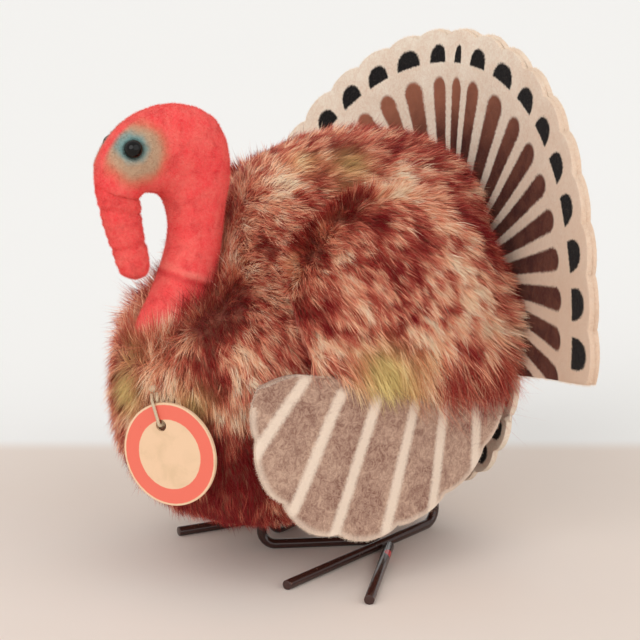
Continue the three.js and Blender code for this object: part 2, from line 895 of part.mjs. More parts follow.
addPiece('body_cover', bodyCover(), mohairMaterial);
addPiece('body_stuffing', bodyStuffing(), woodWoolMaterial);
addPiece('head_neck_cover', headCover(), velvetMaterial);
addPiece('head_neck_stuffing', headStuffing(), woodWoolMaterial);
addPiece('neck_wire', tube(neckWireKnots(), neckWireRadius), steelWireMaterial);
addPiece('snood', snood(), velvetMaterial);
addPair('eye_bead', ball(eyeCentre(), eyeRadius), glassMaterial);
addPiece(
  'eye_wire',
  tube(eyeWireKnots(eyeCentre().x - eyeRadius - seatGap), eyeWireRadius),
  steelWireMaterial,
);
addPair('wing_shoulder', wingShoulder(), mohairMaterial);
addPair('wing_felt', wingFelt(0, 0, wingLobeDepth), brownFeltMaterial);
addPair(
  'wing_lining',
  wingFelt(feltThickness + seatGap, liningInset, wingLobeDepth),
  brownFeltMaterial,
);

const stiffenerDepth = feltThickness + seatGap;
const backFeltDepth = stiffenerDepth + stiffenerThickness + seatGap;
addPiece(
  'tail_front_felt',
  fanFelt(0, feltThickness, fanRadius, scallopDepth, fanScallops * scallopSteps),
  stripedFeltMaterial,
);
addPiece(
  'tail_stiffener',
  fanFelt(stiffenerDepth, stiffenerThickness, fanRadius - stiffenerInset, 0, fanScallops * 2),
  cardMaterial,
);
addPiece(
  'tail_back_felt',
  fanFelt(backFeltDepth, feltThickness, fanRadius, scallopDepth, fanScallops * scallopSteps),
  stripedFeltMaterial,
);
addPiece('undertail_felt', underTailFelt(), stripedFeltMaterial);

for (const [name, knots] of Object.entries(footWires)) {
  addPiece(name, footWire(knots), paintedWireMaterial);
}

addPiece('tag_card', tagCard(), tagMaterial);
addPiece('tag_thread', tagThread(), threadMaterial);
addPiece('tag_knot', ball(tagPlace(0, knotUp, knotOut), knotRadius), threadMaterial);

// The origin is below the middle of the bird, on the table
const reach = new THREE.Box3().setFromObject(turkey);
const middle = reach.getCenter(new THREE.Vector3());
turkey.position.set(-middle.x, -middle.y, -reach.min.z);

export default turkey;
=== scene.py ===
import math

import bmesh
import bpy
import numpy as np
from mathutils import Matrix, Vector, kdtree, noise
from mathutils.bvhtree import BVHTree


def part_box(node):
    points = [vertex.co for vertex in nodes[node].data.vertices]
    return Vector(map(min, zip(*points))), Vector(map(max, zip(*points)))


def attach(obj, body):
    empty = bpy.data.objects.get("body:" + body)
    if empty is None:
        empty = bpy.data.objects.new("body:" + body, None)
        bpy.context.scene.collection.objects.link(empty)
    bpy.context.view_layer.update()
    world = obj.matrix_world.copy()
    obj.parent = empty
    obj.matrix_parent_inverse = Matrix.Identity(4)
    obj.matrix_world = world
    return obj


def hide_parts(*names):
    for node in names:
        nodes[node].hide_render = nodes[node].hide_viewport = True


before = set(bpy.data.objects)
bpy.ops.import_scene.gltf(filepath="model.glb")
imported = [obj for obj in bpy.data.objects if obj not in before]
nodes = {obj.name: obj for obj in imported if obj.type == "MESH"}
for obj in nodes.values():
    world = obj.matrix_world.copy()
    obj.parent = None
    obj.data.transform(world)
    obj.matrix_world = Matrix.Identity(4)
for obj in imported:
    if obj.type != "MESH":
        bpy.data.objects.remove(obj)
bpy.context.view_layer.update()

MM = 0.001

# The camera, at the photograph's angle
CAMERA_TURN = math.radians(58.13)
CAMERA_LIFT = math.radians(12.51)
CAMERA_DISTANCE = 554.1 * MM
CAMERA_ASIDE = 2.4 * MM
CAMERA_AIM_HEIGHT = 62.9 * MM
CAMERA_LENS = 115.6
SENSOR_WIDTH = 36

# The source's own datum lies this far behind the frame's origin
DATUM_Y = 5.2822 * MM

# Tail fan, as in the source
TAIL_REACH = 44.1 * MM
TAIL_HEIGHT = 56.7 * MM
FAN_RADIUS = 84 * MM
FAN_ROOT_RADIUS = 6 * MM
FAN_ROOT_DROP = 12.7 * MM
FAN_LEAN = math.radians(2.5)
FAN_HALF_ANGLE = math.radians(88.5)
FAN_CUP = 17.8 * MM
FAN_SCALLOPS = 19
SCALLOP_DEPTH = 2.2 * MM
FELT_THICKNESS = 1.6 * MM
BACK_FELT_DEPTH = 2.8 * MM
UNDER_TAIL_RADIUS = 38.5 * MM
UNDER_TAIL_DROP = 6.2 * MM
UNDER_TAIL_SCALLOPS = 9
# Worn fan: its felts thinned a little, its rim let back and trimmed at the top
FAN_FELT_FULLNESS = 1.35 * MM
RIM_FLARE = 1.1 * MM
TOP_TRIM = 2.1 * MM
# How far scallops are worn round where they meet, as a share of their wave
CUSP_WEAR = 0.06

# Wing flap, as in the source
WING_HINGE_REACH = 39.5 * MM
WING_HINGE_FORWARD = 1.2 * MM
WING_HINGE_HEIGHT = 54.5 * MM
WING_SLOPE = math.radians(9.5)
WING_RADIUS = 42 * MM
WING_LOBES = 7
WING_FRONT_CURL = 4.5 * MM
WING_REAR_CURL = 4 * MM
WING_FLARE = 1.5 * MM
LINING_DEPTH = 1.9 * MM
LINING_INSET = 1.2 * MM
WING_RIM_SHARES = [0.84, 0.95, 1.02, 1.03, 0.99, 0.925, 0.935, 0.98, 1.01]
# Its lobes are cut deeper than in the source, and its front corner is worn round
WING_LOBE_DEPTH = 2.1 * MM
WING_CORNER_DROP = 3.5 * MM

# Feet, as in the source
WIRE_RADIUS = 1.35 * MM
WIRE_FLAT = 0.12 * MM
WIRE_BEND_RADIUS = 4 * MM
BEND_STEPS = 8
LEG_TOP_HEIGHT = 47 * MM
SEAT_GAP = 0.3 * MM
MIDDLE_TOE_LENGTH = 46.7 * MM
OUTER_TOE_LENGTH = 48.6 * MM
REAR_TOE_LENGTH = 20.5 * MM
FEET = {
    "left": {
        "ankle": (12.6 * MM, 18.3 * MM),
        "turns": {"middle": 20.6, "outer": 49.4, "inner": -25},
        "inner_length": 36 * MM,
    },
    "right": {
        "ankle": (-21.2 * MM, 18.2 * MM),
        "turns": {"middle": -4, "outer": -49, "inner": 23},
        "inner_length": 26.5 * MM,
    },
}

# A speck of red paint on the left foot's inner wire
SPECK_SPOT = Vector((24.5, 15.8, 2.7)) * MM
SPECK_RADIUS = 2.1 * MM

# Card tag, as in the source
TAG_RADIUS = 13.3 * MM
TAG_THICKNESS = 0.8 * MM
TAG_HOLE_RADIUS = 1.5 * MM
TAG_HOLE_OFFSET = 7.6 * MM
TAG_TURN = math.radians(31)
TAG_TILT = math.radians(18)
TAG_STAND_OFF = 55.37 * MM
TAG_OFFSET = 11.2 * MM
TAG_CENTRE_HEIGHT = 38.2 * MM
THREAD_RADIUS = 0.4 * MM
KNOT_RADIUS = 1 * MM
KNOT_UP = 17.1 * MM
KNOT_OUT = -0.8 * MM

# Where the mohair parts, under the neck, and the neck's way up from there
NECK_ROOT = np.array([0, -41 * MM + DATUM_Y, 74 * MM])
NECK_WAY = np.array([0, 0.29, 0.957])
# The way that hair hangs, and the nape
HANG_WAY = np.array([0, 0.1, -1.0])
NAPE = np.array([0, -15 * MM + DATUM_Y, 104 * MM])
# Breaks up the border of the hair that stands against the neck
LIP_SHUFFLE = np.array([9100, 7300, 5100])
# The neck's fold lies where a place times this way comes to this height
FOLD_WAY = (0, 0.45, 1)
FOLD_HEIGHT = 63.1 * MM

# Eye bead, from the frame
BEAD_LOW, BEAD_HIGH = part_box("left_eye_bead")
EYE_SPOT = (BEAD_LOW + BEAD_HIGH) / 2
EYE_RADIUS = (BEAD_HIGH.z - BEAD_LOW.z) / 2
# The painted halo sits a little behind the bead and below it
HALO_SHIFT = (0.8 * MM, -1 * MM)

STUFFING_PRESSURE = 4

# Lights: name, turn and lift in degrees, strength, width in degrees
SUNS = [("key", 28, 32, 1.1, 50), ("fill", 100, 25, 0.85, 70)]
AIR_STRENGTH = 0.68

# Hairs of each quarter of the body and of each shoulder
BODY_HAIRS = 50000
SHOULDER_HAIRS = 65000
# Fibres of the velvet and of the felts' cut edges, with their lengths and widths
HEAD_FIBRES = 110000
SNOOD_FIBRES = 26000
NAP_SIZE = (0.6 * MM, 0.06 * MM)
FAN_FIBRES = 11000
FAN_FUZZ_SIZE = (0.8 * MM, 0.05 * MM)
FLAP_FIBRES = 6000
FLAP_FUZZ_SIZE = (0.7 * MM, 0.05 * MM)


def linear(red, green, blue):
    """A colour of the screen, 0 to 255, as Blender's linear one."""
    channels = [value / 255 for value in (red, green, blue)]
    return [c / 12.92 if c <= 0.04045 else ((c + 0.055) / 1.055) ** 2.4 for c in channels] + [1]


# Colours
MAROON = linear(134, 26, 30)
RUSSET = linear(182, 70, 58)
ROSE = linear(224, 126, 102)
PEACH = linear(255, 198, 158)
CREAM = linear(255, 238, 210)
OLIVE = linear(230, 212, 138)
BACKING = linear(150, 70, 60)
BACKING_PALE = linear(206, 134, 108)
VELVET_RED = linear(240, 60, 70)
VELVET_PINK = linear(246, 148, 132)
VELVET_DEEP = linear(204, 28, 44)
VELVET_SHEEN = linear(255, 150, 140)
HALO_ORANGE = linear(214, 126, 98)
HALO_TAN = linear(190, 160, 132)
HALO_BLUE = linear(120, 158, 156)
FELT_CREAM = linear(253, 240, 222)
FELT_BEIGE = linear(237, 210, 187)
# Warm beige painted as shade on the fan's +X side
FELT_PAINTED_SHADE = linear(226, 192, 166)
FELT_BLACK = linear(20, 17, 18)
FELT_BLACK_WORN = linear(110, 100, 92)
STRIPE_BROWN = linear(70, 25, 18)
STRIPE_LIGHT = linear(164, 102, 78)
WING_GREY = linear(206, 172, 150)
WING_DARK = linear(130, 88, 74)
WING_PALE = linear(246, 226, 206)
WIRE_BROWN = linear(58, 32, 27)
WIRE_CHIP = linear(108, 66, 48)
RED_SPECK = linear(226, 20, 32)
GLASS_BLACK = linear(3, 3, 3)
GLASS_HAZE = linear(9, 8, 8)
CARD_CREAM = linear(236, 200, 164)
CARD_FOXED = linear(206, 176, 136)
CARD_CORAL = linear(236, 112, 92)
THREAD_PALE = linear(222, 206, 178)
THREAD_DULL = linear(188, 166, 132)
WOOD_WOOL = linear(201, 168, 105)
WOOD_WOOL_DULL = linear(150, 116, 66)
BUCKRAM_TAN = linear(176, 141, 91)
BUCKRAM_DULL = linear(150, 116, 72)
STEEL_PALE = linear(150, 150, 152)
STEEL_DULL = linear(108, 104, 100)
FLOOR_NEAR = linear(236, 220, 208)
FLOOR_FAR = linear(251, 250, 248)
AIR_WHITE = linear(250, 249, 247)


def add_object(name, data):
    made = bpy.data.objects.new(name, data)
    bpy.context.collection.objects.link(made)
    return made


def way_out(turn, lift):
    """The way from the object at a turn from the front and a lift above the floor."""
    level = math.cos(lift)
    return Vector((math.sin(turn) * level, -math.cos(turn) * level, math.sin(lift)))


def set_camera():
    outward = way_out(CAMERA_TURN, CAMERA_LIFT)
    aside = Vector((math.cos(CAMERA_TURN), math.sin(CAMERA_TURN), 0))
    aim = aside * CAMERA_ASIDE + Vector((0, DATUM_Y, CAMERA_AIM_HEIGHT))
    camera = add_object("camera", bpy.data.cameras.new("camera"))
    camera.location = aim + outward * CAMERA_DISTANCE
    camera.rotation_euler = outward.to_track_quat("Z", "Y").to_euler()
    camera.data.sensor_width = SENSOR_WIDTH
    camera.data.lens = CAMERA_LENS
    camera.data.clip_start = 10 * MM
    bpy.context.scene.camera = camera


# Node trees

class Value:
    """The output socket of a node, to reckon with as with a plain number."""

    def __init__(self, socket):
        self.socket = socket

    def __add__(self, other):
        return reckon("ADD", self, other)

    def __sub__(self, other):
        return reckon("SUBTRACT", self, other)

    def __mul__(self, other):
        return reckon("MULTIPLY", self, other)

    def __truediv__(self, other):
        return reckon("DIVIDE", self, other)

    def __pow__(self, other):
        return reckon("POWER", self, other)

    def __abs__(self):
        return reckon("ABSOLUTE", self)


def shader_node(tree, kind, inputs=None, **settings):
    made = tree.nodes.new(kind)
    for key, value in settings.items():
        setattr(made, key, value)
    for socket, value in (inputs or {}).items():
        if isinstance(value, Value):
            tree.links.new(value.socket, made.inputs[socket])
        else:
            made.inputs[socket].default_value = value
    return made


def node_beside(kind, inputs, **settings):
    """A node in the tree that the values among its inputs are in."""
    tree = next(value.socket.id_data for value in inputs.values() if isinstance(value, Value))
    return shader_node(tree, kind, inputs, **settings)


def reckon(operation, *values):
    made = node_beside("ShaderNodeMath", dict(enumerate(values)), operation=operation)
    return Value(made.outputs[0])


def raised(value, power):
    """A power of a value, taken as 0 below 0."""
    return reckon("MAXIMUM", value, 0.0) ** power


def vector_value(operation, place, other):
    """A distance or a product of two vectors."""
    made = node_beside("ShaderNodeVectorMath", {0: place, 1: other}, operation=operation)
    return Value(made.outputs["Value"])


def step_between(value, low, high):
    """0 below low, 1 above high, smooth between."""
    inputs = {"Value": value, "From Min": low, "From Max": high}
    made = node_beside("ShaderNodeMapRange", inputs, interpolation_type="SMOOTHSTEP")
    return Value(made.outputs["Result"])


def mixed(share, first, second):
    inputs = {"Factor": share, 6: first, 7: second}
    return Value(node_beside("ShaderNodeMix", inputs, data_type="RGBA").outputs[2])


def ramp(value, stops):
    made = node_beside("ShaderNodeValToRGB", {"Fac": value})
    elements = made.color_ramp.elements
    while len(elements) < len(stops):
        elements.new(0.5)
    for element, (place, colour) in zip(elements, stops):
        element.position = place
        element.color = colour
    return Value(made.outputs["Color"])


def noise_value(place, scale, detail, roughness, distortion=0.0):
    inputs = {
        "Vector": place,
        "Scale": scale,
        "Detail": detail,
        "Roughness": roughness,
        "Distortion": distortion,
    }
    return Value(node_beside("ShaderNodeTexNoise", inputs).outputs["Fac"])


def object_place(tree):
    return Value(shader_node(tree, "ShaderNodeTexCoord").outputs["Object"])


def attribute(tree, name, output="Fac"):
    return Value(shader_node(tree, "ShaderNodeAttribute", attribute_name=name).outputs[output])


def effect_group(name, inputs, outputs, effect):
    """A node group whose effect(*values) reckons its outputs; an input of None is a place."""
    group = bpy.data.node_groups.new(name, "ShaderNodeTree")
    for title, value in inputs.items():
        kind = "NodeSocketVector" if value is None else "NodeSocketFloat"
        socket = group.interface.new_socket(title, in_out="INPUT", socket_type=kind)
        if value is not None:
            socket.default_value = value
    for title in outputs:
        group.interface.new_socket(title, in_out="OUTPUT", socket_type="NodeSocketFloat")
    given = group.nodes.new("NodeGroupInput")
    result = group.nodes.new("NodeGroupOutput")
    values = effect(*[Value(given.outputs[title]) for title in inputs])
    for title, value in zip(outputs, values):
        group.links.new(value.socket, result.inputs[title])
    return group


def tangled_fibres(place, fineness):
    """Short tangled fibres: a height for the bump and a shade for the colour."""
    fine = noise_value(place, fineness * 2600, 2, 0.6, 1.6)
    coarse = noise_value(place, fineness * 520, 4, 0.65, 2.2)
    return fine * 0.6 + coarse * 0.8, step_between(coarse, 0.3, 0.7)


def soft_blotches(place, size, level, softness):
    """Soft blotches of a given size, from 0 to 1."""
    cloud = noise_value(place, reckon("DIVIDE", 1.0, size), 4, 0.55, 0.4)
    return [step_between(cloud, level - softness, level + softness)]


FIBRES = effect_group(
    "tangled_fibres", {"Place": None, "Fineness": 1.0}, ["Height", "Shade"], tangled_fibres
)
BLOTCHES = effect_group(
    "soft_blotches",
    {"Place": None, "Size": 0.01, "Level": 0.5, "Softness": 0.1},
    ["Mask"],
    soft_blotches,
)


def fibres(place, fineness):
    inputs = {"Place": place, "Fineness": fineness}
    made = node_beside("ShaderNodeGroup", inputs, node_tree=FIBRES)
    return Value(made.outputs["Height"]), Value(made.outputs["Shade"])


def blotches(place, size, level=0.5, softness=0.1):
    inputs = {"Place": place, "Size": size, "Level": level, "Softness": softness}
    return Value(node_beside("ShaderNodeGroup", inputs, node_tree=BLOTCHES).outputs["Mask"])


def finish_material(name, paint, bump_distance=0.3 * MM, **constants):
    """A material whose paint(tree) gives its colour, roughness and the height of its bump."""
    made = bpy.data.materials.new(name)
    made.use_nodes = True
    tree = made.node_tree
    shader = tree.nodes["Principled BSDF"]
    colour, roughness, height = paint(tree)
    tree.links.new(colour.socket, shader.inputs["Base Color"])
    tree.links.new(roughness.socket, shader.inputs["Roughness"])
    if height is not None:
        bump = node_beside("ShaderNodeBump", {"Height": height, "Distance": bump_distance})
        tree.links.new(bump.outputs["Normal"], shader.inputs["Normal"])
    for socket, value in constants.items():
        shader.inputs[socket.replace("_", " ")].default_value = value
    return made


# Materials

def mohair_paint(tree):
    """Each hair takes its colour from where it is rooted: pale roots and tinted tips."""
    root = attribute(tree, "root_place", "Vector")
    tint = attribute(tree, "tint")
    streak = noise_value(root, 290, 3, 0.6, 0.8)
    cloud = noise_value(root, 80, 3, 0.5, 0.5)
    depth = streak * 1.75 + cloud * 0.5 + attribute(tree, "pale") + tint * 0.09
    stops = [(0.26, MAROON), (0.4, RUSSET), (0.5, ROSE), (0.62, PEACH), (0.85, CREAM)]
    tip = mixed(attribute(tree, "olive"), ramp(depth - 0.66, stops), OLIVE)
    foot = mixed(0.4, tip, PEACH)
    colour = mixed(step_between(attribute(tree, "along"), 0.1, 0.6), foot, tip)
    return colour, tint * 0.2 + 0.38, None


def backing_paint(tree):
    place = object_place(tree)
    height, shade = fibres(place, 1.0)
    patch = blotches(place, 6 * MM)
    colour = mixed(patch, BACKING, BACKING_PALE)
    return mixed(shade * 0.4, colour, MAROON), patch * 0.1 + 0.85, height


def velvet_paint(tree):
    """Rubbed velvet, a painted highlight and painted shade at its fold low on the neck, and the
    painted halos round the beads.
    """
    place = attribute(tree, "root_place", "Vector")
    height, shade = fibres(place, 2.2)
    rub = blotches(place, 5 * MM, 0.5, 0.2)
    deep = blotches(place, 4 * MM, 0.58, 0.12)
    colour = mixed(rub * 0.35, VELVET_RED, VELVET_PINK)
    colour = mixed(deep * 0.55, colour, VELVET_DEEP)
    colour = mixed(attribute(tree, "along") * 0.3 + shade * 0.35, colour, VELVET_PINK)
    apart = node_beside("ShaderNodeSeparateXYZ", {0: place})
    x, y, z = [Value(socket) for socket in apart.outputs]
    on_neck = step_between(y, -45 * MM, -40 * MM)
    over_fold = vector_value("DOT_PRODUCT", place, Vector(FOLD_WAY)) - FOLD_HEIGHT
    over_fold += noise_value(place, 150, 2, 0.5) * (2.4 * MM) - 1.2 * MM
    # Painted light at the neck's fold: a painted highlight along its ridge and painted shade in its
    # hollow
    ridge = step_between(abs(over_fold - 1.9 * MM), 1.8 * MM, 0.2 * MM) * on_neck
    hollow = step_between(abs(over_fold + 0.3 * MM), 1.5 * MM, 0.1 * MM) * on_neck
    colour = mixed(ridge * 0.4, colour, VELVET_PINK)
    colour = mixed(hollow * 0.45, colour, VELVET_DEEP)
    shake = noise_value(place, 320, 3, 0.6) * (2.2 * MM) - 1.1 * MM

    def away_from(forward, above):
        """The distance from a spot on the side of the head, with a ragged edge."""
        return reckon("SQRT", (y - forward) ** 2 + (z - above) ** 2) + shake

    from_bead = away_from(EYE_SPOT.y, EYE_SPOT.z + 0.3 * MM)
    away = away_from(EYE_SPOT.y + HALO_SHIFT[0], EYE_SPOT.z + HALO_SHIFT[1])
    halo = mixed(step_between(from_bead, 2.3 * MM, 4.9 * MM), HALO_BLUE, HALO_TAN)
    halo = mixed(step_between(away, 4.8 * MM, 8.4 * MM), halo, HALO_ORANGE)
    on_side = step_between(abs(x), 1.2 * MM, 3.4 * MM)
    share = step_between(away, 10.2 * MM, 6.2 * MM) * on_side
    return mixed(share, colour, halo), shade * 0.15 + 0.7, height


def felt_ground(tree, pale, dull, spread):
    """Wool felt: place, a mottled ground with loose fibres over it, roughness and height."""
    place = object_place(tree)
    height, shade = fibres(place, 1.0)
    patch = blotches(place, spread, 0.5, 0.16)
    matted = step_between(noise_value(place, 640, 4, 0.7, 1.8), 0.36, 0.64)
    fleck = step_between(noise_value(place, 2200, 2, 0.7, 2.5), 0.5, 0.66)
    colour = mixed(fleck * 0.5, mixed(matted * 0.6 + patch * 0.4, pale, dull), pale)
    return place, colour, shade * 0.08 + 0.86, height


def off_middle(cell):
    """How far a place is from the middle of its cell, up to a half."""
    return abs(reckon("FRACT", cell) - 0.5)


def arch_mask(place, cell, ring, half_width, foot, height):
    """A dot in each scallop: straight at its foot, arched towards the rim, soft at its edge."""
    shake = (noise_value(place, 1600, 3, 0.7) - 0.5) * 0.24
    across = off_middle(cell) / half_width + shake
    up = (ring - foot) / height + shake
    inside = step_between(raised(across, 2.3) + raised(up, 2.3), 1.16, 0.8)
    return inside * step_between(up, -0.06, 0.06)


def fan_paint(tree):
    """Brown stripes, lighter at their outer ends and towards the fan's -X side, and a dot in each
    scallop, on a ground warmed by painted shade towards the +X side.
    """
    place, ground, roughness, height = felt_ground(tree, FELT_CREAM, FELT_BEIGE, 14 * MM)
    ring = attribute(tree, "ring")
    half_width, dot_height = attribute(tree, "dot_half_width"), attribute(tree, "dot_height")
    dot = arch_mask(place, attribute(tree, "cell"), ring, half_width, 73 * MM, dot_height)
    shake = noise_value(place, 1100, 4, 0.7) - 0.5
    off = off_middle(attribute(tree, "spoke")) + shake * 0.16
    near_end = (ring - attribute(tree, "stripe_end")) / (3.6 * MM)
    rounding = raised(near_end + 1.0, 2.0)
    stripe = step_between((off / 0.295) ** 2.0 + rounding, 1.4, 0.7)
    # The stripes grow lighter towards their outer ends, most towards the fan's -X side
    stripe_lightening = step_between(near_end, -5.5, -0.7) * attribute(tree, "stripe_lightening")
    worn = blotches(place, 5 * MM, 0.5, 0.2)
    brown = mixed(worn * 0.22 + stripe_lightening, STRIPE_BROWN, STRIPE_LIGHT)
    matted = step_between(noise_value(place, 900, 4, 0.7, 1.5), 0.56, 0.74)
    brown = mixed(matted * 0.35, brown, STRIPE_LIGHT)
    # Painted shade: the ground warms towards the fan's +X side, which faces away from the key light
    ground = mixed(attribute(tree, "warm") * 0.7, ground, FELT_PAINTED_SHADE)
    fleck = step_between(noise_value(place, 1300, 4, 0.7, 1.5), 0.54, 0.74)
    black = mixed(fleck * 0.4, FELT_BLACK, FELT_BLACK_WORN)
    return mixed(dot, mixed(stripe, ground, brown), black), roughness, height


def fuzz_paint(tree):
    tone = noise_value(attribute(tree, "root_place", "Vector"), 700, 2, 0.6)
    return mixed(tone, FELT_CREAM, FELT_BEIGE), tone * 0.1 + 0.8, None


def under_tail_paint(tree):
    place, ground, roughness, height = felt_ground(tree, FELT_CREAM, FELT_BEIGE, 12 * MM)
    cell, ring = attribute(tree, "cell"), attribute(tree, "ring")
    dot = arch_mask(place, cell, ring, 0.36, 31.4 * MM, 5.2 * MM)
    return mixed(dot, ground, FELT_BLACK), roughness, height


def wing_paint(tree):
    place, ground, roughness, height = felt_ground(tree, WING_GREY, WING_DARK, 7 * MM)
    shake = noise_value(place, 1500, 4, 0.75) - 0.5
    edge = shake * (2 * MM) + attribute(tree, "stripe_edge")
    colour = mixed(step_between(edge, 0.9 * MM, -0.8 * MM) * 0.9, ground, WING_PALE)
    rim = step_between(attribute(tree, "rim"), 2.2 * MM, 0.3 * MM)
    return mixed(rim * 0.55, colour, WING_PALE), roughness, height


def wire_paint(tree):
    """Brushed paint with chips, and the speck of red."""
    place = object_place(tree)
    chip = blotches(place, 2.4 * MM, 0.68, 0.03)
    drip = noise_value(place, 240, 2, 0.5)
    colour = mixed(chip * 0.8, WIRE_BROWN, WIRE_CHIP)
    away = vector_value("DISTANCE", place, SPECK_SPOT)
    speck = step_between(away, SPECK_RADIUS + 0.3 * MM, SPECK_RADIUS)
    roughness = chip * 0.35 + drip * 0.2 + 0.12
    return mixed(speck, colour, RED_SPECK), roughness, drip - chip * 0.5


def bead_paint(tree):
    haze = noise_value(object_place(tree), 900, 2, 0.5)
    return mixed(haze, GLASS_BLACK, GLASS_HAZE), haze * 0.06 + 0.03, None


def card_paint(tree):
    """Foxed paper, with a plain ring printed on its front."""
    place = object_place(tree)
    centre = tag_place(0, 0, 0)
    level = centre.dot(TAG_OUT)
    front = step_between(vector_value("DOT_PRODUCT", place, TAG_OUT), level, level + 0.1 * MM)
    height = fibres(place, 1.6)[0]
    foxed = blotches(place, 5 * MM, 0.6, 0.15)
    paper = mixed(foxed * 0.4, CARD_CREAM, CARD_FOXED)
    worn = noise_value(place, 900, 3, 0.6) - 0.5
    edge = worn * (0.25 * MM) + vector_value("DISTANCE", place, centre)
    inner = step_between(edge, 8.9 * MM, 9.1 * MM)
    outer = step_between(edge, 12.9 * MM, 12.7 * MM)
    return mixed(inner * outer * front, paper, CARD_CORAL), foxed * 0.15 + 0.5, height


def thread_paint(tree):
    ply = noise_value(object_place(tree), 3000, 2, 0.6, 1.0)
    return mixed(ply, THREAD_PALE, THREAD_DULL), ply * 0.1 + 0.75, ply


def steel_paint(tree):
    drawn = noise_value(object_place(tree), 1400, 2, 0.5)
    return mixed(drawn, STEEL_PALE, STEEL_DULL), drawn * 0.25 + 0.25, drawn


def fibre_paint(fineness, pale, dull):
    """The paint of a stuff made of tangled fibres in two shades."""

    def paint(tree):
        height, shade = fibres(object_place(tree), fineness)
        return mixed(shade, pale, dull), shade * 0.1 + 0.8, height

    return paint


def floor_paint(tree):
    """A pale table, warm in front and fading to white behind."""
    place = object_place(tree)
    ahead = Vector((math.sin(CAMERA_TURN), -math.cos(CAMERA_TURN), 0))
    depth = vector_value("DOT_PRODUCT", place, ahead)
    tone = noise_value(place, 9, 3, 0.5)
    near = mixed(tone * 0.3, FLOOR_NEAR, FLOOR_FAR)
    colour = mixed(step_between(depth, -92 * MM, -108 * MM), near, FLOOR_FAR)
    return colour, tone * 0.1 + 0.8, None


# Surfaces of the felts and places on the tag, in the frame's own metres

TAG_OUT = Vector((math.sin(TAG_TURN), -math.cos(TAG_TURN), 0))
TAG_RIGHT = Vector((math.cos(TAG_TURN), math.sin(TAG_TURN), 0))


def tag_place(right, up, out):
    leant_right = right * math.cos(TAG_TILT) - up * math.sin(TAG_TILT)
    leant_up = right * math.sin(TAG_TILT) + up * math.cos(TAG_TILT)
    spot = TAG_OUT * (TAG_STAND_OFF + out) + TAG_RIGHT * (leant_right - TAG_OFFSET)
    return spot + Vector((0, DATUM_Y, TAG_CENTRE_HEIGHT + leant_up))


def fan_place(x, above, depth):
    """The fan's face: cupped forwards at its sides and let back a little at its rim."""
    ring = math.hypot(x, above)
    let_back = RIM_FLARE * max((ring - 71 * MM) / (13 * MM), 0) ** 1.3
    y = TAIL_REACH + above * math.sin(FAN_LEAN) + depth + let_back + DATUM_Y
    y -= FAN_CUP * (x / FAN_RADIUS) ** 2 * math.cos(FAN_LEAN)
    return Vector((x, y, TAIL_HEIGHT + above * math.cos(FAN_LEAN)))


def wing_place(along, down, depth):
    share = along / WING_RADIUS
    curl = WING_FRONT_CURL if share < 0 else WING_REAR_CURL
    x = WING_HINGE_REACH - curl * share**2 + WING_FLARE * down / WING_RADIUS - depth
    y = -WING_HINGE_FORWARD + along * math.cos(WING_SLOPE) - down * math.sin(WING_SLOPE)
    z = WING_HINGE_HEIGHT - along * math.sin(WING_SLOPE) - down * math.cos(WING_SLOPE)
    return Vector((x, y + DATUM_Y, z))


def apply_all(piece):
    bpy.ops.object.select_all(action="DESELECT")
    bpy.context.view_layer.objects.active = piece
    piece.select_set(True)
    for modifier in list(piece.modifiers):
        bpy.ops.object.modifier_apply(modifier=modifier.name)
    piece.select_set(False)


def felt_grid(name, steps, place):
    """A grid of felt: place(across, down) gives each point and its pattern values."""
    bpy.ops.object.select_all(action="DESELECT")
    bpy.ops.mesh.primitive_grid_add(x_subdivisions=steps[0], y_subdivisions=steps[1], size=2)
    grid = bpy.context.active_object
    grid.name = name
    values = {}
    for vertex in grid.data.vertices:
        across = (vertex.co.x + 1) / 2
        down = (1 - vertex.co.y) / 2
        spot, pattern = place(across, down)
        vertex.co = spot
        for key, value in pattern.items():
            values.setdefault(key, []).append(value)
    for key, column in values.items():
        made = grid.data.attributes.new(key, "FLOAT", "POINT")
        made.data.foreach_set("value", column)
    return grid


def bevel(piece, name, width, segments, angle):
    edge = piece.modifiers.new(name, "BEVEL")
    edge.width = width
    edge.segments = segments
    edge.limit_method = "ANGLE"
    edge.angle_limit = math.radians(angle)


def dress(piece, material, body, node):
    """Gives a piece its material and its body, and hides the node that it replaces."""
    piece.data.materials.append(material)
    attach(piece, body)
    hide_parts(node)


def thicken(piece, thickness):
    """Gives a felt its thickness behind its face, with a soft round edge."""
    wall = piece.modifiers.new("thickness", "SOLIDIFY")
    wall.thickness = thickness
    wall.offset = -1
    bevel(piece, "soft_edge", thickness * 0.3, 2, 60)
    apply_all(piece)
    piece.data.shade_smooth()


def scalloped(radius, depth, scallops, across):
    """The radius of an edge cut in scallops, worn round where they meet."""
    wave = math.cos(scallops * math.pi * (across - 0.5))
    return radius - depth * (1 - math.sqrt(math.hypot(wave, CUSP_WEAR)))


def fan_cell(x, above):
    """How many scallops lie before a place on the fan, counted from its -X end."""
    angle = math.atan2(x, above)
    count = angle / (2 * FAN_HALF_ANGLE) * FAN_SCALLOPS + FAN_SCALLOPS / 2
    middle = FAN_SCALLOPS / 2
    squeeze = 0.5 * (count - middle) * math.exp(-(((count - middle) / 1.3) ** 2))
    return count + squeeze


def spoke_cell(x, above):
    """The same along the stripes, which meet above the centre of the scallops."""
    meeting = 12 * MM
    dots = 75.7 * MM
    along = Vector((x, above - meeting))
    if along.length < 1e-6:
        return FAN_SCALLOPS / 2
    along.normalize()
    nearest = along.y * meeting
    reach = -nearest + math.sqrt(nearest**2 - meeting**2 + dots**2)
    return fan_cell(along.x * reach, meeting + along.y * reach)


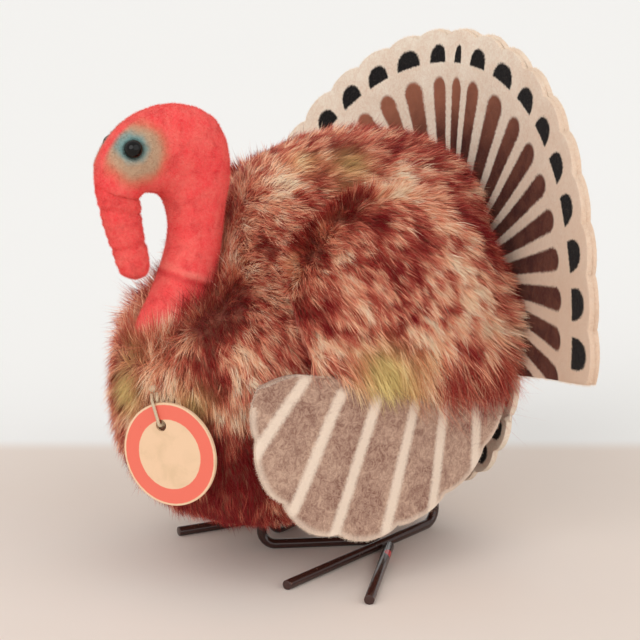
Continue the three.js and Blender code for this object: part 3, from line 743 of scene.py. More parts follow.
def fan_felt(name, depth, node):
    def place(across, down):
        angle = FAN_HALF_ANGLE * (2 * across - 1)
        rim = scalloped(FAN_RADIUS, SCALLOP_DEPTH, FAN_SCALLOPS, across)
        rim -= TOP_TRIM * math.cos(angle) ** 2
        spoke = Vector((math.sin(angle), math.cos(angle)))
        root = spoke * FAN_ROOT_RADIUS - Vector((0, FAN_ROOT_DROP))
        spot = (spoke * rim).lerp(root, down**1.15)
        ring = spot.length
        count = fan_cell(spot.x, spot.y)
        from_middle = abs(count - FAN_SCALLOPS / 2)
        wave = 0.35 * MM * noise.noise(Vector((spot.x, spot.y, 0)) * 60)
        side = min(abs(angle) / FAN_HALF_ANGLE, 1)
        pattern = {
            "ring": ring,
            "cell": count,
            "spoke": spoke_cell(spot.x, spot.y),
            "dot_half_width": 0.34 - 0.17 * math.exp(-((from_middle / 0.5) ** 2)),
            "dot_height": (5 + 4.2 * side**3) * MM,
            "stripe_end": (69 - 4.5 * side**2) * MM,
            # How much the stripes lighten, most towards the fan's -X side
            "stripe_lightening": max(0.08, 0.8 - 2.6 * max(across - 0.45, 0)),
            # How much painted shade warms the ground, rising towards the +X side
            "warm": part((across - 0.55) / 0.35),
        }
        pinch = max(depth - FAN_FELT_FULLNESS, 0) * part((ring - 77 * MM) / (5 * MM))
        return fan_place(spot.x, spot.y, depth + wave - pinch), pattern

    felt = felt_grid(name, (FAN_SCALLOPS * 12, 22), place)
    thicken(felt, FAN_FELT_FULLNESS)
    dress(felt, FAN_FELT, "bird", node)
    return felt


def fan_edge(across):
    """The height of the fan's lower edge above its centre."""
    root_height = -FAN_ROOT_DROP + FAN_ROOT_RADIUS * math.cos(FAN_HALF_ANGLE)
    rise = FAN_RADIUS * math.cos(FAN_HALF_ANGLE) - root_height
    run = (FAN_RADIUS - FAN_ROOT_RADIUS) * math.sin(FAN_HALF_ANGLE)
    return root_height + rise * max(abs(across) - FAN_ROOT_RADIUS, 0) / run


def under_tail_felt():
    def place(across, down):
        angle = math.pi * across
        edge = scalloped(UNDER_TAIL_RADIUS, SCALLOP_DEPTH, UNDER_TAIL_SCALLOPS, across)
        x = -edge * math.cos(angle)
        top = fan_edge(x) - 0.45 * MM
        low = min(-UNDER_TAIL_DROP - edge * math.sin(angle), top - FELT_THICKNESS)
        above = top + (low - top) * down
        drop = above + UNDER_TAIL_DROP
        pattern = {
            "ring": math.hypot(x, drop),
            "cell": UNDER_TAIL_SCALLOPS * math.atan2(-drop, -x) / math.pi,
        }
        return fan_place(x, above, 0), pattern

    felt = felt_grid("under_tail", (UNDER_TAIL_SCALLOPS * 12, 14), place)
    thicken(felt, FELT_THICKNESS)
    dress(felt, UNDER_FELT, "bird", "undertail_felt")


# Cream stripes of the flap: foot and tip as places along and down from the hinge, in mm
WING_STRIPES = [
    ((-24.2, 0.8), (-35.2, 20.6)),
    ((-13.5, 3.9), (-22.9, 33.6)),
    ((-2.8, 4.8), (-10.4, 39.9)),
    ((9.3, 5.8), (5.0, 38.6)),
    ((19.4, 5.8), (19.5, 33.7)),
    ((30.2, 1.1), (33.0, 22.0)),
]
STRIPE_HALF_WIDTH = 1.45 * MM


def stripe_edge(along, down):
    """How far outside the nearest stripe of the flap a place is."""
    spot = Vector((along, down))
    nearest = 1.0
    for foot, tip in WING_STRIPES:
        start = Vector(foot) * MM
        run = Vector(tip) * MM - start
        share = min(max((spot - start).dot(run) / run.length_squared, 0), 1)
        nearest = min(nearest, (spot - start - run * share).length)
    return nearest - STRIPE_HALF_WIDTH


def flap_outline(inset):
    """The flap's cut edge, along and down from the hinge: lobed rim and sewn top."""
    points = []
    for across in np.linspace(0, 1, 361):
        angle = math.pi * across
        share = np.interp(across, np.linspace(0, 1, len(WING_RIM_SHARES)), WING_RIM_SHARES)
        radius = WING_RADIUS * share - inset
        edge = scalloped(radius, WING_LOBE_DEPTH, WING_LOBES, across)
        points.append((-edge * math.cos(angle), edge * math.sin(angle)))
    for along in np.linspace(points[-1][0], points[0][0], 181)[1:-1]:
        points.append((along, 0))
    points = np.array(points)
    worn = WING_CORNER_DROP * part((-points[:, 0] - 24 * MM) / (10 * MM)) ** 2
    points[:, 1] = np.maximum(points[:, 1], worn)
    return points


def wing_felt(side, name, depth, inset, node):
    outline = flap_outline(inset)
    centre = np.array([0, 0.42 * WING_RADIUS])
    arms = outline - centre
    turns = np.arctan2(arms[:, 1], arms[:, 0])
    order = np.argsort(turns)

    def place(across, down):
        """A square grid let out to the round outline."""
        u, v = 2 * across - 1, 2 * down - 1
        x, y = u * math.sqrt(1 - v * v / 2), v * math.sqrt(1 - u * u / 2)
        turn = math.atan2(y, x)
        share = min(math.hypot(x, y), 1)
        reach = np.interp(turn, turns[order], np.hypot(*arms.T)[order], period=2 * math.pi)
        low = centre[1] + reach * math.sin(turn)
        spot = Vector((share * reach * math.cos(turn), centre[1] + share * reach * math.sin(turn)))
        wave = 0.5 * MM * noise.noise(Vector((*spot, side)) * 55)
        wave *= min(spot.y / (10 * MM), 1)
        pattern = {
            "stripe_edge": stripe_edge(spot.x, spot.y),
            "rim": (1 - share) * reach + (1 if low < 8 * MM else 0),
        }
        return wing_place(spot.x, spot.y, depth + wave), pattern

    felt = felt_grid(name, (WING_LOBES * 10, 60), place)
    thicken(felt, FELT_THICKNESS)
    if side < 0:
        felt.data.transform(Matrix.Scale(-1, 4, Vector((1, 0, 0))))
        felt.data.flip_normals()
    dress(felt, WING_FELT, "left_wing" if side > 0 else "right_wing", node)
    return felt


# Stuffed skins, taken from the source's solids

def join_up(data, sources):
    """Fills a mesh with the sources' faces, with loose triangles joined at their corners."""
    mesh = bmesh.new()
    for source in sources:
        mesh.from_mesh(source)
    bmesh.ops.remove_doubles(mesh, verts=mesh.verts, dist=0.01 * MM)
    mesh.to_mesh(data)
    mesh.free()


def stuffed_skin(name, stuffed, inset, voxel, smoothing, cap):
    """The outside of stuffed CAD solids as one even skin: drawn in, then let out as cloth."""
    skin = add_object(name, bpy.data.meshes.new(name))
    join_up(skin.data, [nodes[node].data for node in stuffed])
    even = skin.modifiers.new("even", "REMESH")
    even.mode = "VOXEL"
    even.voxel_size = voxel
    apply_all(skin)
    keep_outside(skin.data)
    smooth = skin.modifiers.new("smooth", "SMOOTH")
    smooth.factor = 0.5
    smooth.iterations = smoothing
    apply_all(skin)
    draw_in(skin, inset)
    let_out(skin, cap)
    return skin


def keep_outside(data):
    """Leaves the largest closed surface of a mesh and takes out the hollows inside it."""
    mesh = bmesh.new()
    mesh.from_mesh(data)
    left = set(mesh.verts)
    largest = []
    while left:
        island = [left.pop()]
        for vertex in island:
            beside = {edge.other_vert(vertex) for edge in vertex.link_edges} & left
            left -= beside
            island.extend(beside)
        largest = max(largest, island, key=len)
    inside = set(mesh.verts) - set(largest)
    bmesh.ops.delete(mesh, geom=list(inside), context="VERTS")
    mesh.to_mesh(data)
    mesh.free()


def vectors_in(rows, key):
    values = np.empty(len(rows) * 3)
    rows.foreach_get(key, values)
    return values.reshape(-1, 3)


def mesh_places(mesh):
    return vectors_in(mesh.vertices, "co")


def mesh_normals(mesh):
    return vectors_in(mesh.vertex_normals, "vector")


def set_places(mesh, places):
    mesh.vertices.foreach_set("co", np.ascontiguousarray(places).ravel())
    mesh.update()


def draw_in(skin, inset):
    set_places(skin.data, mesh_places(skin.data) - inset * mesh_normals(skin.data))


def let_out(skin, cap):
    """Cloth under a light inside pressure, no point moving further than the cap."""
    before = mesh_places(skin.data)
    cloth = skin.modifiers.new("stuffing", "CLOTH")
    cloth.settings.use_pressure = True
    cloth.settings.uniform_pressure_force = STUFFING_PRESSURE
    cloth.settings.effector_weights.gravity = 0
    for step in range(1, 21):
        bpy.context.scene.frame_set(step)
    posed = skin.evaluated_get(bpy.context.evaluated_depsgraph_get())
    moved = mesh_places(posed.data) - before
    skin.modifiers.remove(cloth)
    bpy.context.scene.frame_set(1)
    size = np.linalg.norm(moved, axis=1, keepdims=True)
    moved *= np.minimum(size, cap) / np.maximum(size, 1e-9)
    set_places(skin.data, before + moved)


def part(values):
    """Values held between 0 and 1."""
    return np.clip(values, 0, 1)


def bell(values):
    """1 at 0 and less and less on both sides, as a bell curve."""
    return np.exp(-(values**2))


def fold_neck(skin):
    """The soft fold low on the neck: a hollow with a ridge over it."""
    places = mesh_places(skin.data)
    off = (places @ np.array(FOLD_WAY) - FOLD_HEIGHT) / MM
    on_neck = part(((places[:, 1] - DATUM_Y) / MM + 42) / 4)
    depth = 0.45 * bell((off - 1.9) / 0.9) - 0.8 * bell(off / 0.8)
    set_places(skin.data, places + mesh_normals(skin.data) * (on_neck * depth * MM)[:, None])


def shape_snood(skin):
    """The snood's root let into the face, puckered sewn edges and two creases across."""
    low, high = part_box("snood")
    places, normals = mesh_places(skin.data), mesh_normals(skin.data)
    share = (high.z - places[:, 2]) / (high.z - low.z)
    root = part(1 - share / 0.14)
    edge = part((np.abs(normals[:, 1]) - 0.55) / 0.35)
    pucker = 0.15 * edge * np.sin(places[:, 2] / MM * 2.5 + 1.5 * np.sign(normals[:, 1]))
    across = (places[:, 1] - (low.y + high.y) / 2) / (high.y - low.y)
    creases = bell((share - 0.24 - 0.1 * across) / 0.03)
    creases += 0.8 * bell((share - 0.62 + 0.12 * across) / 0.03)
    places += normals * ((pucker - 0.4 * creases + 0.3 * root) * MM)[:, None]
    places[:, 2] += 1.6 * MM * root
    set_places(skin.data, places)


def finish_skin(skin, material, node):
    smooth = skin.modifiers.new("smooth", "SUBSURF")
    smooth.levels = 1
    smooth.render_levels = 1
    apply_all(skin)
    skin.data.shade_smooth()
    add_values(skin.data, "root_place", mesh_places(skin.data))
    dress(skin, material, "bird", node)


# Pile: hairs grown from a skin

def unit(rows):
    return rows / np.maximum(np.linalg.norm(rows, axis=-1, keepdims=True), 1e-12)


def lengths(rows):
    return np.linalg.norm(rows, axis=1)


def roots_on(skin, count, chance, keep):
    """Places and outward ways of hairs, spread evenly over the part of a skin that is kept."""
    mesh = skin.data
    mesh.calc_loop_triangles()
    corners = np.empty(len(mesh.loop_triangles) * 3, dtype=np.int32)
    mesh.loop_triangles.foreach_get("vertices", corners)
    corners = corners.reshape(-1, 3)
    places, normals = mesh_places(mesh), mesh_normals(mesh)
    sides = places[corners]
    across = np.cross(sides[:, 1] - sides[:, 0], sides[:, 2] - sides[:, 0])
    weight = lengths(across) * keep(sides.mean(axis=1), unit(across))
    picked = chance.choice(len(corners), count, p=weight / weight.sum())
    first, second = chance.random((2, count))
    over = first + second > 1
    first[over], second[over] = 1 - first[over], 1 - second[over]
    shares = np.stack([1 - first - second, first, second], axis=1)[:, :, None]
    chosen = corners[picked]
    return (places[chosen] * shares).sum(axis=1), unit((normals[chosen] * shares).sum(axis=1))


def grown(name, skin, material, paths, wide_ways, widths, values):
    """Narrow blades along paths of shape (hairs, levels, 3), each ending in a point."""
    hairs, levels = paths.shape[:2]
    half = wide_ways[:, None, :] * widths[:, :-1, None] / 2
    pairs = np.stack([paths[:, :-1] - half, paths[:, :-1] + half], axis=2)
    places = np.concatenate([pairs.reshape(hairs, -1, 3), paths[:, -1:]], axis=1)
    each = places.shape[1]
    faces = [[2 * i, 2 * i + 1, 2 * i + 3, 2 * i + 2] for i in range(levels - 2)]
    faces.append([each - 3, each - 2, each - 1])
    pattern = np.array(sum(faces, []))
    sizes = np.array([len(face) for face in faces])
    corners = (np.arange(hairs)[:, None] * each + pattern).ravel()
    starts = np.concatenate([[0], np.cumsum(np.tile(sizes, hairs))[:-1]])
    mesh = bpy.data.meshes.new(name)
    mesh.vertices.add(hairs * each)
    mesh.loops.add(len(corners))
    mesh.polygons.add(len(starts))
    mesh.vertices.foreach_set("co", places.ravel())
    mesh.loops.foreach_set("vertex_index", corners.astype(np.int32))
    mesh.polygons.foreach_set("loop_start", starts.astype(np.int32))
    mesh.update(calc_edges=True)
    shares = np.linspace(0, 1, levels)
    along = np.concatenate([np.repeat(shares[:-1], 2), shares[-1:]])
    add_values(mesh, "along", np.tile(along, hairs))
    for key, column in values.items():
        add_values(mesh, key, np.repeat(column, each, axis=0))
    mesh.polygons.foreach_set("use_smooth", np.ones(len(starts), dtype=bool))
    mesh.materials.append(material)
    hair = add_object(name, mesh)
    hair.parent = skin
    return hair


def add_values(mesh, name, column):
    if column.ndim == 2:
        made = mesh.attributes.new(name, "FLOAT_VECTOR", "POINT")
        made.data.foreach_set("vector", np.ascontiguousarray(column, dtype=np.float32).ravel())
    else:
        made = mesh.attributes.new(name, "FLOAT", "POINT")
        made.data.foreach_set("value", column.astype(np.float32))


def along_skin(way, outward):
    """A way turned to lie along the skin."""
    return unit(way - outward * (way * outward).sum(axis=1, keepdims=True) + 1e-6)


def nearest_lock(roots, locks):
    tree = kdtree.KDTree(len(locks))
    for number, place in enumerate(locks):
        tree.insert(place, number)
    tree.balance()
    return np.array([tree.find(place)[1] for place in roots])


def near_patches(roots, patches):
    """How strongly listed patches (place, size, strength) reach each root."""
    total = np.zeros(len(roots))
    for place, size, strength in patches:
        spot = np.array(place) * MM + np.array([0, DATUM_Y, 0])
        total += strength * bell(lengths(roots - spot) / (size * MM))
    return total


def grow_mohair(name, skin, count, seed, keep, stance):
    chance = np.random.default_rng(seed)
    roots, outward = roots_on(skin, count, chance, keep)
    length, lift, way = stance(roots, outward)
    lie = along_skin(way, outward)
    aside = np.cross(outward, lie)
    locks = chance.choice(count, count // 30, replace=False)
    lock = nearest_lock(roots, roots[locks])
    lock_turn = chance.normal(0, 0.2, len(locks))[lock]
    turn = lock_turn + chance.normal(0, 0.14, count)
    way = lie * np.cos(turn)[:, None] + aside * np.sin(turn)[:, None]
    stray = np.where(chance.random(count) < 0.04, 1.35, 1)
    reach = length * stray * chance.normal(1, 0.1, len(locks))[lock] * chance.normal(1, 0.12, count)
    rise = np.clip(lift + chance.normal(0, 0.12, count), 0.12, 1)
    middle = roots + reach[:, None] * (0.36 * outward + 0.2 * way)
    tip = roots + reach[:, None] * (rise[:, None] * outward + (1.15 - 0.95 * rise)[:, None] * way)
    gather = chance.uniform(0.05, 0.32, count)[:, None]
    tip += (tip[locks][lock] - tip) * gather
    middle += (middle[locks][lock] - middle) * gather * 0.3
    bend = roots * 0.25 + middle * 0.5 + tip * 0.25
    paths = np.stack([roots, bend, tip], axis=1)
    line = unit(tip - roots)
    flat = unit(np.cross(line, outward))
    lean = chance.uniform(-1, 1, count)[:, None]
    wide = flat * np.cos(lean) + np.cross(line, flat) * np.sin(lean)
    widths = chance.uniform(0.1, 0.16, count)[:, None] * MM * np.array([[1, 0.85, 0]])
    values = {
        "root_place": roots,
        "tint": chance.normal(0, 1, count) * 0.5 + chance.normal(0, 0.5, len(locks))[lock],
        "pale": near_patches(roots, PALE_PATCHES),
        "olive": np.clip(near_patches(roots, OLIVE_PATCHES), 0, 0.85),
    }
    pile = grown(name, skin, MOHAIR, paths, wide, widths, values)


def grow_nap(name, skin, count, seed, material, size, keep):
    """Short standing fibres of velvet or felt."""
    reach, width = size
    chance = np.random.default_rng(seed)
    roots, outward = roots_on(skin, count, chance, keep)
    way = unit(outward + chance.normal(0, 0.5, (count, 3)))
    tips = roots + way * (reach * chance.uniform(0.5, 1.25, count))[:, None]
    paths = np.stack([roots, tips], axis=1)
    wide = unit(np.cross(way, chance.normal(0, 1, (count, 3))))
    values = {"root_place": roots}
    grown(name, skin, material, paths, wide, np.full((count, 2), width), values)


# Patches of the mohair's colours: place, size in mm and strength, pale above zero. All are its own
# colours but the pale one at (12, -28, 82), which is painted light over the shade of the standing
# hair beside the neck.
PALE_PATCHES = [
    ((28, 7, 103), 8, 0.32), ((21, 17, 104), 8, 0.25), ((38, 14, 96), 5, 0.2),
    ((43, 18, 86), 6, 0.3), ((44, 22, 78), 8, 0.38), ((44, 28, 66), 7, 0.36),
    ((44, 10, 66), 7, 0.25), ((42, -10, 77), 6, 0.18), ((36, -19, 65), 6, 0.28),
    ((25, -36, 65), 5, 0.3), ((14, -49, 55), 6, 0.28), ((26, -36, 49), 8, 0.25),
    ((16, -18, 91), 6, 0.25), ((9, -16, 101), 6, 0.28), ((42, 4, 88), 7, -0.16),
    ((43, -2, 83), 5, -0.14), ((30, -6, 98), 9, -0.12), ((19, -15, 90), 7, -0.25),
    ((36, -18, 72), 6, -0.12), ((44, -1, 69), 6, -0.14), ((45, 14, 74), 5, -0.16),
    ((41, 29, 86), 8, -0.28), ((30, 32, 97), 10, -0.22), ((12, 22, 110), 10, -0.16),
    ((10, -1, 110), 6, -0.22), ((41, 24, 55), 7, -0.24), ((44, 13, 57), 5, -0.3),
    # The first patch here, at (12, -28, 82), is painted light that lifts the shade of the standing
    # hair
    ((34, 14, 49), 5, -0.2), ((12, -28, 82), 8, 0.12), ((11, -21, 88), 5, -0.15),
    ((12, -35, 75), 7, -0.2), ((19, -38, 69), 6, -0.25), ((20, -43, 60), 5, -0.25),
    ((24, -37, 39), 9, -0.34), ((15, -34, 22), 16, -0.3),
]
OLIVE_PATCHES = [
    ((16, 0, 108), 5, 0.8), ((20, -5, 103), 3, 0.4), ((9, -10, 107), 4, 0.4),
    ((41, -7, 61), 6, 0.9), ((42, 0, 59), 5, 0.6), ((43, 7, 63), 3, 0.3),
    ((2, -52, 53), 5.5, 1), ((18, -46, 52), 5, 0.5),
]


def everywhere(places, ways):
    return 1


def facing_out(places, ways):
    """Keeps hairs off the side of a shoulder that lies on the body."""
    return (np.sign(places[:, 0]) * ways[:, 0] > -0.95).astype(float)


def fan_rims(places, ways):
    """Keeps fibres to the cut edges of the fan's felts."""
    return (np.abs(ways[:, 1]) < 0.75).astype(float)


def flap_rims(places, ways):
    return (np.abs(ways[:, 0]) < 0.7).astype(float)


def quarter(side, end):
    """Keeps hairs to one side and one end of the body, and off its flat rear on the fan."""

    def keep(places, ways):
        here = (places[:, 0] * side > 0) & (places[:, 1] * end > 0)
        on_fan = (ways[:, 1] > 0.8) & (places[:, 1] > 0)
        return (here & ~on_fan).astype(float)

    return keep


def neck_distance(roots):
    """How far each root is from the neck's velvet, up to 20 mm."""
    mesh = nodes["head_neck_cover"].data
    faces = [list(face.vertices) for face in mesh.polygons]
    tree = BVHTree.FromPolygons(mesh_places(mesh).tolist(), faces)
    apart = [tree.find_nearest(root, 20 * MM)[3] for root in roots]
    return np.array([20 * MM if away is None else away for away in apart])


def body_stance(roots, outward):
    """Length, rise and way of the body's hairs: off the neck and down, but up at its foot."""
    height = roots[:, 2] / MM
    from_root = roots - NECK_ROOT
    beside = from_root - NECK_WAY * (from_root @ NECK_WAY)[:, None]
    collar = part(1.8 - lengths(from_root) / MM / 12)
    inward = -(outward * unit(beside)).sum(axis=1)
    shuffle = 1.5 * MM * np.sin(roots @ LIP_SHUFFLE * 1000)
    lip = part(2 - (neck_distance(roots) + shuffle) / (2.2 * MM))
    wall = lip * part(inward)
    nape = bell(lengths(roots - NAPE) / (12 * MM))
    lip = lip[:, None]
    way = unit(from_root) * (1 - 0.7 * lip) + HANG_WAY * (1 - lip) + 1.5 * NECK_WAY * lip
    top = part((height - 95) / 15)
    belly = part((24 - height) / 12)
    above_knot = roots - np.array(tag_place(0, KNOT_UP + 6 * MM, -6 * MM))
    tuft = bell(lengths(above_knot) / (5.5 * MM))
    length = 6.2 + 0.8 * top - 1.4 * belly + 4 * collar + 5.5 * tuft - 2.8 * nape
    rise = 0.5 + 0.42 * collar + 0.05 * tuft - 0.12 * lip[:, 0] - 0.4 * wall - 0.25 * nape
    return length * MM, rise, way


def shoulder_stance(roots, outward):
    """The same on a shoulder: long over the flap's seam, with a tuft beside the fan."""
    height = roots[:, 2] / MM
    behind = (roots[:, 1] - DATUM_Y) / MM
    hem = part((66 - height) / 10)
    overhang = 6 + 6.5 * part((behind + 30) / 12) - 7 * part((behind - 24) / 14)
    tuft = part((behind - 24) / 10) * part(1.4 - np.abs(height - 64) / 12)
    front = part(-1.6 * outward[:, 1] - 0.2)
    rim = part(1.1 - 1.6 * np.abs(outward[:, 0]))
    way = unit(roots - NECK_ROOT) + HANG_WAY * (1.8 + 1.2 * hem)[:, None]
    way[:, 0] += 1.2 * front * np.sign(roots[:, 0])
    length = 6 + overhang * hem + 3 * tuft
    return length * MM, 0.48 - 0.2 * hem + 0.45 * tuft + 0.35 * rim * (1 - hem), way


# Wire

def bent_run(corners, radius):
    """Straight runs joined by round bends."""
    knots = [corners[0]]
    for before, corner, after in zip(corners, corners[1:], corners[2:]):
        into = (corner - before).normalized()
        onward = (after - corner).normalized()
        turn = into.angle(onward)
        start = corner - into * radius * math.tan(turn / 2)
        inward = (onward - into * onward.dot(into)).normalized()
        for step in range(BEND_STEPS + 1):
            angle = turn * step / BEND_STEPS
            aside = inward * (1 - math.cos(angle))
            knots.append(start + (into * math.sin(angle) + aside) * radius)
    knots.append(corners[-1])
    return knots


def rod(name, knots, radius, rounding):
    """A round rod along knots, its cut ends a little rounded."""
    line = bpy.data.curves.new(name, "CURVE")
    line.dimensions = "3D"
    line.bevel_depth = radius
    line.bevel_resolution = 5
    line.use_fill_caps = True
    spline = line.splines.new("POLY")
    spline.points.add(len(knots) - 1)
    for point, knot in zip(spline.points, knots):
        point.co = (*knot, 1)
    run = add_object(name, line)
    bpy.ops.object.select_all(action="DESELECT")
    bpy.context.view_layer.objects.active = run
    run.select_set(True)
    bpy.ops.object.convert(target="MESH")
    rod_piece = bpy.context.active_object
    join_up(rod_piece.data, [rod_piece.data])
    if rounding:
        bevel(rod_piece, "cut_ends", rounding, 3, 70)
        apply_all(rod_piece)
    rod_piece.data.shade_smooth()
    return rod_piece


def foot_point(ankle, turn, length, height):
    angle = math.radians(turn)
    x = ankle[0] + length * math.sin(angle)
    return Vector((x, ankle[1] - length * math.cos(angle) + DATUM_Y, height))


def side_toe_start(ankle, turns, turn, height):
    between = math.radians(abs(turn - turns["middle"]))
    clear = (WIRE_RADIUS * (1 + math.cos(between)) + SEAT_GAP) / math.sin(between)
    return foot_point(ankle, turn, clear, height)


def foot_wires(side, foot):
    ankle, turns = foot["ankle"], foot["turns"]
    rest = WIRE_RADIUS - WIRE_FLAT
    toe_tip = foot_point(ankle, turns["middle"], MIDDLE_TOE_LENGTH, rest)
    heel = foot_point(ankle, turns["middle"], -REAR_TOE_LENGTH, rest)
    inner_start = side_toe_start(ankle, turns, turns["inner"], rest)
    front = foot_point(ankle, turns["inner"], foot["inner_length"], rest)
    outer_tip = foot_point(ankle, turns["outer"], OUTER_TOE_LENGTH, rest)
    leg_tops = [Vector((*low.xy, LEG_TOP_HEIGHT)) for low in (heel, front)]
    runs = {
        "main_wire": bent_run([toe_tip, heel, leg_tops[0]], WIRE_BEND_RADIUS),
        "outer_toe": [outer_tip, side_toe_start(ankle, turns, turns["outer"], rest)],
        "inner_wire": bent_run([inner_start, front, leg_tops[1]], WIRE_BEND_RADIUS),
    }
    for kind, knots in runs.items():
        wire = rod(f"{side}_{kind}_painted", knots, WIRE_RADIUS, 0.35 * MM)
        places = mesh_places(wire.data)
        places[:, 2] = np.maximum(places[:, 2], 0)
        set_places(wire.data, places)
        dress(wire, WIRE, "bird", f"{side}_{kind}")


# Eyes and tag

def settle(piece):
    """Leaves a piece where it is, with its object at the origin."""
    piece.data.transform(piece.matrix_world)
    piece.matrix_world = Matrix.Identity(4)


def ball(name, segments, rings, radius, spot):
    bpy.ops.object.select_all(action="DESELECT")
    bpy.ops.mesh.primitive_uv_sphere_add(
        segments=segments, ring_count=rings, radius=radius, location=spot
    )
    made = bpy.context.active_object
    made.name = name
    settle(made)
    made.data.shade_smooth()
    return made


def disc(name, vertices, radius, depth, spot):
    """A flat round that faces the way of the tag."""
    bpy.ops.object.select_all(action="DESELECT")
    turn = TAG_OUT.to_track_quat("Z", "Y").to_euler()
    bpy.ops.mesh.primitive_cylinder_add(
        vertices=vertices, radius=radius, depth=depth, location=spot, rotation=turn
    )
    made = bpy.context.active_object
    made.name = name
    return made


def eye_bead(side, word):
    spot = Vector((side * EYE_SPOT.x, EYE_SPOT.y, EYE_SPOT.z))
    bead = ball(f"{word}_bead", 40, 20, EYE_RADIUS, spot)
    dress(bead, BEAD, "bird", f"{word}_eye_bead")


def tag_card():
    card = disc("round_card", 96, TAG_RADIUS, TAG_THICKNESS, tag_place(0, 0, 0))
    hole_spot = tag_place(0, TAG_HOLE_OFFSET, 0)
    punch = disc("punch", 40, TAG_HOLE_RADIUS, 4 * TAG_THICKNESS, hole_spot)
    hole = card.modifiers.new("hole", "BOOLEAN")
    hole.object = punch
    hole.operation = "DIFFERENCE"
    bevel(card, "pressed_edge", 0.15 * MM, 2, 30)
    apply_all(card)
    bpy.data.objects.remove(punch)
    settle(card)
    dress(card, CARD, "tag", "tag_card")


def tag_thread():
    strand_out = TAG_THICKNESS / 2 + SEAT_GAP + THREAD_RADIUS
    knot_face = KNOT_UP - KNOT_RADIUS - SEAT_GAP
    side = 2 * THREAD_RADIUS
    above = TAG_RADIUS + 2 * THREAD_RADIUS
    corners = [
        (-side, knot_face, KNOT_OUT),
        (-side, above, 0),
        (0, TAG_RADIUS, strand_out),
        (0, TAG_HOLE_OFFSET, strand_out),
        (0, TAG_HOLE_OFFSET, -strand_out),
        (0, TAG_RADIUS, -strand_out),
        (side, above, 0),
        (side, knot_face, KNOT_OUT),
    ]
    knots = bent_run([tag_place(*corner) for corner in corners], 0.5 * MM)
    thread = rod("tag_loop", knots, THREAD_RADIUS, 0)
    dress(thread, THREAD, "tag", "tag_thread")


def tag_knot():
    knot = ball("thread_knot", 24, 14, KNOT_RADIUS, tag_place(0, KNOT_UP, KNOT_OUT))
    places, normals = mesh_places(knot.data), mesh_normals(knot.data)
    turns = np.sin(places @ np.array([5040, 2160, 6240]))
    set_places(knot.data, places + normals * (turns * 0.1 * MM - 0.08 * MM)[:, None])
    dress(knot, THREAD, "tag_knot", "tag_knot")


def stuffing(name, node, inset):
    """Wood wool: the CAD solid, its loose triangles merged, under the covers."""
    wool = add_object(name, nodes[node].data.copy())
    join_up(wool.data, [wool.data])
    draw_in(wool, inset)
    wool.data.shade_smooth()
    wool.data.materials.clear()
    dress(wool, WOOL, "bird", node)


# Floor and light

def studio():
    bpy.ops.object.select_all(action="DESELECT")
    bpy.ops.mesh.primitive_plane_add(size=12, location=(0, 0, 0))
    floor = bpy.context.active_object
    floor.name = "floor"
    floor.data.materials.append(finish_material("pale_floor", floor_paint))
    for name, turn, lift, strength, spread in SUNS:
        lamp = add_object(name, bpy.data.lights.new(name, "SUN"))
        way = way_out(math.radians(turn), math.radians(lift))
        lamp.rotation_euler = way.to_track_quat("Z", "Y").to_euler()
        lamp.data.energy = strength
        lamp.data.angle = math.radians(spread)
    world = bpy.data.worlds.new("studio_air")
    bpy.context.scene.world = world
    world.use_nodes = True
    air = world.node_tree.nodes["Background"].inputs
    air["Color"].default_value = AIR_WHITE
    air["Strength"].default_value = AIR_STRENGTH


scene = bpy.context.scene
scene.view_settings.view_transform = "Standard"
set_camera()
studio()

MOHAIR = finish_material("mohair_hair", mohair_paint, Specular_IOR_Level=0.12)
BACK_CLOTH = finish_material("woven_backing", backing_paint)
VELVET = finish_material(
    "red_velvet",
    velvet_paint,
    0.03 * MM,
    Sheen_Weight=0.4,
    Sheen_Tint=VELVET_SHEEN,
    Specular_IOR_Level=0.15,
)
thin_sheen = {"Sheen_Weight": 0.05, "Specular_IOR_Level": 0.1}
FAN_FELT = finish_material("striped_fan_felt", fan_paint, 0.4 * MM, **thin_sheen)
UNDER_FELT = finish_material("under_tail_felt", under_tail_paint, 0.4 * MM, **thin_sheen)
FUZZ = finish_material("felt_fuzz", fuzz_paint, Specular_IOR_Level=0.15)
WING_FELT = finish_material(
    "brown_wing_felt", wing_paint, 0.4 * MM, Sheen_Weight=0.15, Specular_IOR_Level=0.2
)
WIRE = finish_material("painted_wire", wire_paint, 0.1 * MM, Coat_Weight=0.15)
BEAD = finish_material("black_glass", bead_paint, Specular_IOR_Level=0.28)
CARD = finish_material("tag_card", card_paint, 0.05 * MM)
THREAD = finish_material("linen_thread", thread_paint, 0.2 * MM)
WOOL = finish_material("wood_wool", fibre_paint(0.5, WOOD_WOOL, WOOD_WOOL_DULL), 0.6 * MM)
STEEL = finish_material("steel_wire", steel_paint, 0.05 * MM, Metallic=0.9)
BUCKRAM = finish_material(
    "buckram_card", fibre_paint(0.8, BUCKRAM_TAN, BUCKRAM_DULL), 0.1 * MM
)

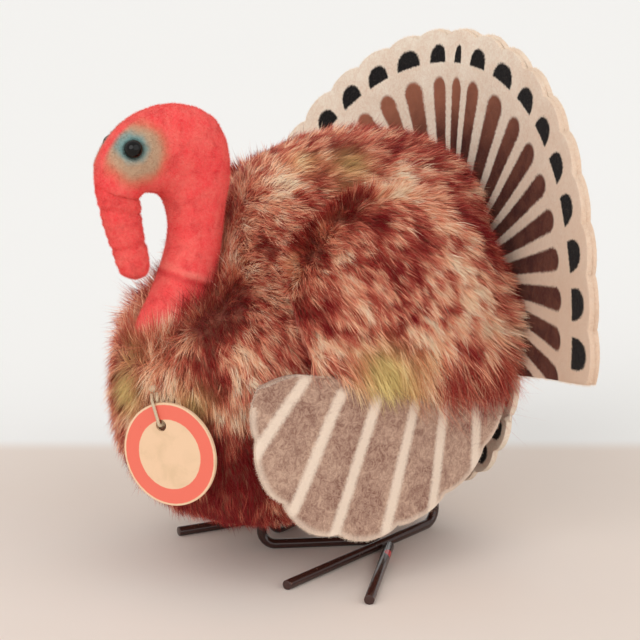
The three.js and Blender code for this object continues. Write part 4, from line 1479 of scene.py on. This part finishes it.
fan_front = fan_felt("fan_front", 0, "tail_front_felt")
fan_back = fan_felt("fan_back", BACK_FELT_DEPTH, "tail_back_felt")
grow_nap("fan_front_fuzz", fan_front, FAN_FIBRES, 31, FUZZ, FAN_FUZZ_SIZE, fan_rims)
grow_nap("fan_back_fuzz", fan_back, FAN_FIBRES, 32, FUZZ, FAN_FUZZ_SIZE, fan_rims)
under_tail_felt()
sides = {"left": 1, "right": -1}
for word, side in sides.items():
    flap = wing_felt(side, f"{word}_flap", 0, 0, f"{word}_wing_felt")
    grow_nap(f"{word}_flap_fuzz", flap, FLAP_FIBRES, 33, FUZZ, FLAP_FUZZ_SIZE, flap_rims)
    wing_felt(side, f"{word}_flap_lining", LINING_DEPTH, LINING_INSET, f"{word}_wing_lining")
    eye_bead(side, word)
    foot_wires(word, FEET[word])
tag_card()
tag_thread()
tag_knot()
stuffing("body_wood_wool", "body_stuffing", 1.6 * MM)
stuffing("head_wood_wool", "head_neck_stuffing", 1.2 * MM)
for name, material in {"neck_wire": STEEL, "eye_wire": STEEL, "tail_stiffener": BUCKRAM}.items():
    nodes[name].data.materials.clear()
    nodes[name].data.materials.append(material)

body = stuffed_skin(
    "body_cloth",
    ["body_cover", "body_stuffing"],
    inset=2.6 * MM,
    voxel=3.2 * MM,
    smoothing=3,
    cap=0.8 * MM,
)
finish_skin(body, BACK_CLOTH, "body_cover")
seed = 11
for word, side in sides.items():
    for end_word, end in {"rear": 1, "front": -1}.items():
        name = f"{word}_{end_word}_body_pile"
        grow_mohair(name, body, BODY_HAIRS, seed, quarter(side, end), body_stance)
        seed += 1
for word, side in sides.items():
    node = f"{word}_wing_shoulder"
    shoulder = stuffed_skin(
        f"{word}_shoulder_cloth",
        [node],
        inset=2.4 * MM,
        voxel=2.6 * MM,
        smoothing=3,
        cap=0.8 * MM,
    )
    finish_skin(shoulder, BACK_CLOTH, node)
    name = f"{word}_shoulder_pile"
    grow_mohair(name, shoulder, SHOULDER_HAIRS, 16 + side, facing_out, shoulder_stance)

head = stuffed_skin(
    "head_velvet",
    ["head_neck_cover", "head_neck_stuffing"],
    inset=0.1 * MM,
    voxel=0.9 * MM,
    smoothing=2,
    cap=0.3 * MM,
)
fold_neck(head)
finish_skin(head, VELVET, "head_neck_cover")
grow_nap("head_nap", head, HEAD_FIBRES, 21, VELVET, NAP_SIZE, everywhere)
drop = stuffed_skin(
    "snood_velvet", ["snood"], inset=0.1 * MM, voxel=0.7 * MM, smoothing=1, cap=0.3 * MM
)
shape_snood(drop)
finish_skin(drop, VELVET, "snood")
grow_nap("snood_nap", drop, SNOOD_FIBRES, 22, VELVET, NAP_SIZE, everywhere)
